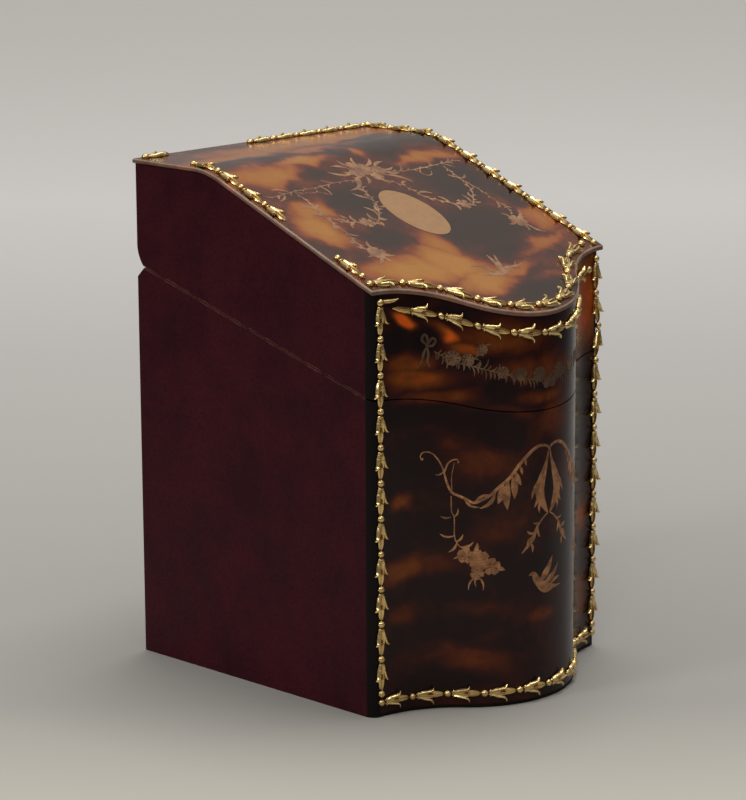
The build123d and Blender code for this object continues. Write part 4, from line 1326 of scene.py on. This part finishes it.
@dataclass
class FrontInlay(Inlay):
    """Scrolls, a pendant leaf, flowers and a bird on the front of the base."""

    name: str = "inlay_base_front"
    body: Body = Body.BASE
    surface: Place = CASE.on_front

    def scroll(self) -> None:
        """The long acanthus scroll of one side, with its second curl."""
        line = ((-31.2, 58.5), (-31.6, 59.2), (-31.2, 60.1), (-30, 60.3), (-28.6, 59.7), (-27.4, 58.3), (-26.5, 56.6),
                (-26, 54.9), (-25.3, 52.5), (-24.4, 50.8), (-23, 50), (-21.2, 49.2), (-19.6, 48.3), (-17.7, 48.8),
                (-15.7, 49.9), (-13.8, 51.5), (-11.8, 53), (-10.3, 54.5), (-8.8, 56.3), (-7.2, 57.8), (-5.2, 59.3),
                (-3.1, 60.1), (-0.8, 59.7), (0.3, 58.6))
        self.ribbon(line, (0.12, 0.14, 0.16, 0.2, 0.26, 0.3, 0.3, 0.34, 0.4, 0.4, 0.42, 0.42, 0.34, 0.24))
        self.disc((-31.1, 58.7), 0.26)
        self.ribbon(((-26, 55.6), (-25.3, 57.3), (-24.2, 58.2), (-23.2, 58.3), (-22.8, 57.7)),
                    (0.24, 0.2, 0.16, 0.14, 0.12))
        self.disc((-22.9, 57.7), 0.24)
        self.ribbon(((-24.3, 50.8), (-24.4, 54.2), (-23.8, 57.6)), (0.1, 0.09, 0.06))
        self.leaves(((-26.2, 55.6, -28.1, 54.9, 0.18), (-21.6, 49.2, -18.1, 47.2, 0.3),
                     (-14.4, 50.8, -18.1, 46.9, 0.5), (-15.6, 50, -19.4, 48, 0.34)), 0.16)
        self.leaves(((-12.6, 52.2, -13.9, 47.8, 0.95), (-11.4, 53, -11.6, 46.2, 1), (-10.4, 53.9, -9.9, 48.6, 0.9),
                     (-9.6, 54.9, -8.2, 51.6, 0.7), (-8.6, 56.2, -7.9, 54, 0.4), (-7, 57.8, -6.9, 56, 0.32)), 0.05)

    def pendant(self) -> None:
        """One half of the hanging leaf in the middle, with the drop under it."""
        self.ribbon(((-0.3, 58.4), (-0.7, 56.6), (-2, 53.2), (-2.9, 50.4), (-2.7, 48), (-1.4, 45.6), (-0.3, 43.9)),
                    (0.2, 0.42, 0.95, 1.35, 1.3, 0.75, 0.16))
        self.leaves(((-3, 52.8, -5, 50.4, 0.42), (-3.6, 51, -5.3, 48, 0.46), (-3.4, 49.2, -4.6, 45.9, 0.46),
                     (-2.6, 47.6, -3, 44.3, 0.42)), 0.1)
        self.ribbon(((-0.3, 44), (-1.8, 43.1), (-3.8, 41.1), (-5, 38.5), (-7.9, 35.6)),
                    (0.14, 0.2, 0.3, 0.5, 0.4, 0.08))
        self.leaves(((-4.4, 39.9, -6.6, 40.6, 0.36), (-4.8, 39.2, -6.6, 37.2, 0.4), (-2.8, 42.2, -5, 42.4, 0.3),
                     (-3.4, 41.4, -2.9, 38.8, 0.36), (-5.6, 37.8, -5, 35.4, 0.34)), 0.12)

    def hanging_flower(self) -> None:
        """The stem under the scroll's outer end, with the flower that it carries."""
        self.ribbon(((-24.5, 49.9), (-24.4, 46.3), (-23.8, 44.9), (-23.7, 40.4), (-22.8, 38.4), (-21.4, 37.4)),
                    (0.12, 0.13, 0.12, 0.13, 0.12))
        self.leaves(((-24.5, 45, -26.9, 45.3, 0.24), (-23.9, 44.9, -22.9, 46.9, 0.24),
                     (-23.8, 40.6, -27.1, 41.2, 0.26), (-23.4, 39.2, -21.8, 41, 0.28), (-23.2, 39, -25.2, 36.8, 0.3),
                     (-22.4, 38, -19.4, 39.2, 0.32), (-21.8, 37.4, -24, 35.2, 0.34), (-18.8, 31, -20.6, 27.9, 0.24),
                     (-18.4, 31, -17.2, 27.8, 0.24), (-18.6, 31.2, -18.8, 28.6, 0.24), (-14, 32.4, -12.1, 32.2, 0.5),
                     (-19.6, 36.4, -18.6, 39, 0.5)), 0.15)
        for centre, radius, petals, turn in (((-21.2, 36), 1.9, 5, 10), ((-18.1, 34.8), 2.4, 6, 40),
                                             ((-15.2, 33.2), 2, 5, 15), ((-18.6, 31.9), 1.6, 5, 60)):
            self.blossom(centre, radius, petals, turn, 0.44)

    def bird(self) -> None:
        """A small bird under the pendant leaf."""
        self.ribbon(((-5.9, 30.1), (-5.2, 30.4), (-4.5, 30.1), (-3.6, 28.6), (-2.2, 27.2), (-0.4, 26.3), (2.6, 26.3)),
                    (0.1, 0.6, 0.9, 1, 1.25, 1.25, 0.8, 0.2))
        self.ribbon(((-2.6, 28.2), (-1.2, 29.6), (0.2, 31.2), (1.4, 33.6)), (0.5, 0.95, 0.7, 0.08))
        self.ribbon(((-1, 27.6), (0.8, 28.6), (2.4, 29.8), (3.6, 31.4)), (0.5, 0.75, 0.5, 0.08))
        self.leaves(((0.2, 26.8, 4.2, 28.2, 0.5), (0.6, 26.4, 4.6, 26.2, 0.36)), 0.05)

    def lay(self) -> None:
        """Lays the whole design, alike on both sides of the middle."""
        self.both_sides(self.scroll, self.pendant, self.hanging_flower)
        self.bird()


@dataclass
class LidFrontInlay(Inlay):
    """A ribbon bow at each end of a garland on the front of the lid."""

    name: str = "inlay_lid_front"
    body: Body = Body.LID
    surface: Place = CASE.on_front

    def bow(self) -> None:
        """One ribbon bow."""
        for loop in (((-30, 84.6), (-31.2, 86), (-30.6, 87.2), (-29.9, 86.2), (-30, 84.6)),
                     ((-30, 84.6), (-28.8, 86.2), (-28, 85.6), (-28.8, 84.5), (-30, 84.6))):
            self.ribbon(loop, (0.12, 0.34, 0.26, 0.34, 0.12))
        self.ribbon(((-30, 84.6), (-30.8, 82.8), (-31.2, 81.2), (-32.4, 79.6)), (0.14, 0.32, 0.26, 0.08))
        self.ribbon(((-30, 84.6), (-29.7, 82.6), (-29.9, 81), (-29.3, 79.6)), (0.14, 0.32, 0.26, 0.08))
        self.disc((-30, 84.6), 0.36)

    def garland(self) -> None:
        """One half of the garland between the bows."""
        self.spray(((-28.4, 83.2), (-24, 80.8), (-18, 79.2), (-12, 77.4), (-6, 75.8), (0, 75.2)), 60, 2.1, 0.2, 60,
                   0.12, 9)
        for centre, radius, turn in (((-24.2, 81.6), 1.3, 0), ((-20.8, 81.2), 1, 20), ((-17.6, 83.4), 0.9, 0),
                                     ((-12.8, 78), 1, 10), ((-8.4, 77.2), 1.1, 30), ((-3.4, 76.6), 1.3, 0),
                                     ((-1, 74.4), 0.9, 20)):
            self.blossom(centre, 1.35 * radius, 9, turn, 0.15)
        self.spray(((-20, 81), (-18, 82.6), (-16.6, 84.6)), 7, 1.5, 0.22, 50, 0.12, 10)

    def lay(self) -> None:
        """Lays the whole design, alike on both sides of the middle."""
        self.both_sides(self.bow, self.garland)


# Inside of the casket

@dataclass
class HingeScrews:
    """Round slotted screws of both hinges, where the CAD model has eight-sided ones without a slot."""

    offset: float = 22.0
    spacing: float = 9.0
    line: float = -2.35
    gap: float = 0.3
    head_radius: float = 0.95
    head_depth: float = 0.45
    radius: float = 0.5
    length: float = 3.2
    taper: float = 0.8
    slot: float = 0.14
    slot_depth: float = 0.22

    def ring(self, radius: float, level: float, cut: bool) -> list[Vector]:
        """Makes one ring of the screw.

        Args:
            radius: Its radius.
            level: Its place along the screw, 0 at the face of the head.
            cut: Whether the slot runs through it.

        Returns:
            Its points.
        """
        outer, inner = math.asin(self.slot / radius), math.asin(0.86 * self.slot / radius)
        low = level - self.slot_depth if cut else level
        points = []
        for start in (0.0, math.pi):
            spots = [(start + angle, height) for angle, height in ((-outer, level), (-inner, low), (inner, low),
                                                                   (outer, level))]
            spots += [(start + outer + (math.pi - 2 * outer) * part / 8, level) for part in range(1, 8)]
            points += [Vector((radius * math.cos(angle), radius * math.sin(angle), height)) for angle, height in spots]
        return points

    def screw(self, draft: Draft, x: float, up: int, turn: float) -> None:
        """Adds one screw.

        Args:
            draft: The mesh.
            x: Its place along the hinge.
            up: 1 for the lid, -1 for the base.
            turn: Angle that its slot has come to rest at.
        """
        rise, run = math.sin(CASE.seam), math.cos(CASE.seam)
        along, normal = Vector((0, run, rise)), Vector((0, -rise, run))
        seat = Vector((x, CASE.y_back - CASE.pin_setback, CASE.pin_height)) + along * self.line + normal * (
            up * self.gap / 2)
        rings = []
        for radius, level, cut in ((0.18, -self.length, False), (self.radius, self.taper - self.length, False),
                                   (self.radius, -self.head_depth, False), (self.head_radius, -0.04, False),
                                   (self.head_radius - 0.03, 0.0, True), (0.5, 0.0, True), (0.17, 0.0, True),
                                   (0.145, -self.slot_depth, False)):
            rings.append([])
            for point in self.ring(radius, level, cut):
                point.rotate(Matrix.Rotation(turn, 3, "Z"))
                rings[-1].append(seat + Vector((point.x, 0, 0)) - along * (up * point.y) - normal * (up * point.z))
        draft.loft(rings)

    def build(self, material: Material) -> None:
        """Builds the screws of each body and lets them stand for their CAD nodes.

        Args:
            material: Finish of the screws.
        """
        chance = random.Random(8)
        for up, body in ((-1, Body.BASE), (1, Body.LID)):
            draft = Draft()
            for side in (-1, 1):
                for end in (-1, 1):
                    self.screw(draft, side * self.offset + end * self.spacing / 2, up, chance.uniform(0, math.pi))
            piece = draft.build(f"slotted_screws_{body.value}", body, Slot.SCREW, material, 30)
            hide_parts(f"hinge_screws_{body.value}")


@dataclass
class FloorPad:
    """Velvet pad on the floor of the base, crowned and tucked in at its edge."""

    inset_side: float = 5.3
    inset_back: float = 7.5
    inset_front: float = 5.5
    floor: float = 4.3
    thick: float = 1.6
    crown: float = 0.12
    crown_reach: float = 60.0
    rows: int = 44
    side_rows: int = 12
    profile: Rows = ((0.35, 0.0), (0.9, 0.35), (1.0, 0.6), (0.96, 0.78), (0.86, 0.9), (0.6, 0.97), (0.3, 1.0),
                     (0.02, 1.0))

    def build(self, material: Material) -> None:
        """Builds the pad and lets it stand for its CAD node.

        Args:
            material: Finish of the pad.
        """
        half = CASE.half - self.inset_side
        rear = CASE.y_back - self.inset_back
        middle = Vector((0, (rear + CASE.front_y(0) + self.inset_front) / 2, 0))
        outline = self.outline(half, rear)
        rings = []
        for reach, level in self.profile:
            rings.append([])
            for spot in outline:
                inside = middle.lerp(spot, reach)
                crown = 1 - self.crown * (spot - inside).length / self.crown_reach
                rings[-1].append(Vector((inside.x, inside.y, self.floor + self.thick * level * crown)))
        draft = Draft()
        draft.loft(rings)
        piece = draft.build("velvet_pad", Body.BASE, Slot.VELVET, material, 60)
        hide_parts("base_pad")

    def outline(self, half: float, rear: float) -> list[Vector]:
        """Draws the plan of the pad's edge, all round.

        Args:
            half: Half of its width.
            rear: Depth of its back.

        Returns:
            Points from the front left corner on.
        """
        across, steps = range(self.rows + 1), range(1, self.side_rows)
        front = [-half + 2 * half * at / self.rows for at in across]
        front = [Vector((x, CASE.front_y(x) + self.inset_front, 0)) for x in front]
        right = [Vector((half, front[-1].y + (rear - front[-1].y) * at / self.side_rows, 0)) for at in steps]
        back = [Vector((half - 2 * half * at / self.rows, rear, 0)) for at in across]
        left = [Vector((-half, rear + (front[0].y - rear) * at / self.side_rows, 0)) for at in steps]
        return front + right + back + left


# Dressing of the CAD nodes

@dataclass
class CadDress:
    """Gives the carried-over CAD nodes their finishes, by the first word that is in a node's name."""

    finishes: dict[str, Material]

    def apply(self) -> None:
        """Assigns a finish to every node that stays in view."""
        for name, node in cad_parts.items():
            material = next((made for word, made in self.finishes.items() if word in name), None)
            if material is None:
                continue
            if not node.material_slots:
                node.data.materials.append(material)
            for slot in node.material_slots:
                slot.material = material
            LOG.info("dressed %s in %s", name, material.name)


# Surroundings

@dataclass
class Studio:
    """Pale paper sweep, soft lamps and the camera."""

    heading: float = 46.09
    camera_place: Triple = (-519.57, -492.11, 226.38)
    elevation: float = 12.872
    roll: float = -0.254
    focal_pixels: float = 3106.0
    frame_pixels: float = 746.0
    sensor: float = 36.0
    room_low: float = 0.12
    room_high: float = 0.7
    room_behind: float = 0.2
    aim: Triple = (0.0, 0.0, 60.0)
    paper_half: float = 3000.0
    paper_bend: float = 2400.0
    paper_radius: float = 700.0

    def sweep(self, material: Material) -> None:
        """Makes the paper: floor and rising bend in one sheet.

        Args:
            material: Finish of the paper.
        """
        profile = [(y, 0.0) for y in (-3000.0, -1500.0, -600.0, 0.0, 700.0, 1500.0, self.paper_bend)]
        for part in range(1, 9):
            angle = math.radians(45) * part / 8
            profile.append((self.paper_bend + self.paper_radius * math.sin(angle),
                            self.paper_radius * (1 - math.cos(angle))))
        mesh = bpy.data.meshes.new("paper_sweep")
        points = [(x * MM, y * MM, z * MM) for y, z in profile for x in (-self.paper_half, self.paper_half)]
        faces = [(2 * at, 2 * at + 1, 2 * at + 3, 2 * at + 2) for at in range(len(profile) - 1)]
        mesh.from_pydata(points, [], faces)
        mesh.polygons.foreach_set("use_smooth", [True] * len(mesh.polygons))
        paper = bpy.data.objects.new("paper_sweep", mesh)
        paper.rotation_euler.z = -math.radians(self.heading)
        bpy.context.scene.collection.objects.link(paper)
        mesh.materials.append(material)

    def lamp(self, name: str, place: Triple, size: Pair, power: float) -> None:
        """Adds a soft box that faces the object.

        Args:
            name: Name of the lamp.
            place: Its place, with the second number along the camera's heading.
            size: Width and height.
            power: Watts.
        """
        data = bpy.data.lights.new(name, "AREA")
        data.shape = "RECTANGLE"
        data.size, data.size_y = size[0] * MM, size[1] * MM
        data.energy = power
        lamp = bpy.data.objects.new(name, data)
        turned = Matrix.Rotation(-math.radians(self.heading), 3, "Z") @ Vector(place)
        lamp.location = turned * MM
        lamp.rotation_mode = "QUATERNION"
        lamp.rotation_quaternion = (Vector(self.aim) - turned).to_track_quat("-Z", "Y")
        bpy.context.scene.collection.objects.link(lamp)

    def world(self) -> None:
        """Makes the light of the room: bright above, and fainter beyond the object."""
        room = bpy.data.worlds.new("room")
        room.use_nodes = True
        room.node_tree.nodes.clear()
        add = partial(add_node, room.node_tree)
        towards = add("TexCoord").outputs["Generated"]
        parts = add("SeparateXYZ", [towards])
        high = add("MapRange", [parts.outputs[2], 0.15, 0.9, self.room_low, self.room_high],
                   interpolation_type="SMOOTHSTEP")
        turn = math.radians(self.heading)
        ahead = add("VectorMath", [towards, (math.sin(turn), math.cos(turn), 0)], operation="DOT_PRODUCT")
        behind = add("MapRange", [ahead, 0.7, 0.98, 0.0, self.room_behind], interpolation_type="SMOOTHSTEP")
        strength = add("Math", [high, behind], operation="ADD")
        light = add("Background", [linear("#fffdfa"), strength])
        add("OutputWorld", [light])
        bpy.context.scene.world = room

    def camera(self) -> None:
        """Sets the camera at the photograph's place and angle."""
        turn, drop, lean = (math.radians(angle) for angle in (self.heading, self.elevation, self.roll))
        ahead = Vector((math.sin(turn) * math.cos(drop), math.cos(turn) * math.cos(drop), -math.sin(drop)))
        level = ahead.cross(Vector((0, 0, 1))).normalized()
        upward = level.cross(ahead)
        right = level * math.cos(lean) + upward * math.sin(lean)
        top = upward * math.cos(lean) - level * math.sin(lean)
        data = bpy.data.cameras.new("camera")
        data.sensor_fit = "HORIZONTAL"
        data.sensor_width = self.sensor
        data.lens = self.focal_pixels / self.frame_pixels * self.sensor
        data.clip_start, data.clip_end = 0.01, 20.0
        camera = bpy.data.objects.new("camera", data)
        camera.matrix_world = Matrix.Translation(Vector(self.camera_place) * MM) @ Matrix(
            (right, top, -ahead)).transposed().to_4x4()
        bpy.context.scene.collection.objects.link(camera)
        bpy.context.scene.camera = camera

    def build(self, paper: Material) -> None:
        """Builds the surroundings.

        Args:
            paper: Finish of the paper.
        """
        self.camera()
        self.sweep(paper)
        self.world()
        self.lamp("overhead_box", (140, 170, 1150), (620, 480), 6.0)
        self.lamp("left_box", (-800, -500, 650), (240, 240), 2.2)
        self.lamp("front_box", (-120, -850, 780), (240, 240), 1.5)
        bpy.context.scene.view_settings.view_transform = "Standard"


def main() -> None:
    """Builds the casket's looks and its surroundings."""
    logging.basicConfig(level=logging.INFO, format="%(name)s: %(message)s")
    Studio().build(PaperSweep("background_paper").material())
    gilt = WornGilding("gilt_stamped_brass").material()
    gold = EngravedGold("gold_inlay_engraved").material()
    GiltStrips().build(gilt)
    PlateInlay().build(gold)
    FrontInlay().build(EngravedGold("gold_inlay_coppery", gold="#cf9460", shade="#5c3624", fade=0.55).material())
    LidFrontInlay().build(EngravedGold("gold_inlay_dulled", gold="#8c6a4a", shade="#40291c", fade=0.75).material())
    FloorPad().build(WovenCloth("crimson_velvet", pile=True, sheen=0.7, colour="#5c1620",
                                faded="#7c2a30").material())
    # Its hollow colour is the dark painted shade in the steel's hollows.
    steel = WornGilding("drawn_steel", gold="#8c8a86", copper="#6e6862", hollow_shade="#28241e", roughness=0.3).material()
    HingeScrews().build(steel)
    oval = EngravedGold("satin_gilt_oval", gold="#ab8259", shade="#9d774f", metallic=0.5, roughness=0.42, fade=0.3)
    brass = WornGilding("rolled_brass", gold="#b8923e", copper="#9a7440", roughness=0.34)
    CadDress({
        "shell_top": PLATE_SHELL.material(),
        "shell_front": FRONT_SHELL.material(),
        "leather": DyedLeather("goatskin_burgundy").material(),
        "oval": oval.material(),
        "board": PlanedPine("planed_red_pine").material(),
        "lining": WovenCloth("faded_crimson_silk").material(),
        "leaf": brass.material(),
        "pin": steel,
        "screws": steel,
    }).apply()


if __name__ == "__main__":
    main()
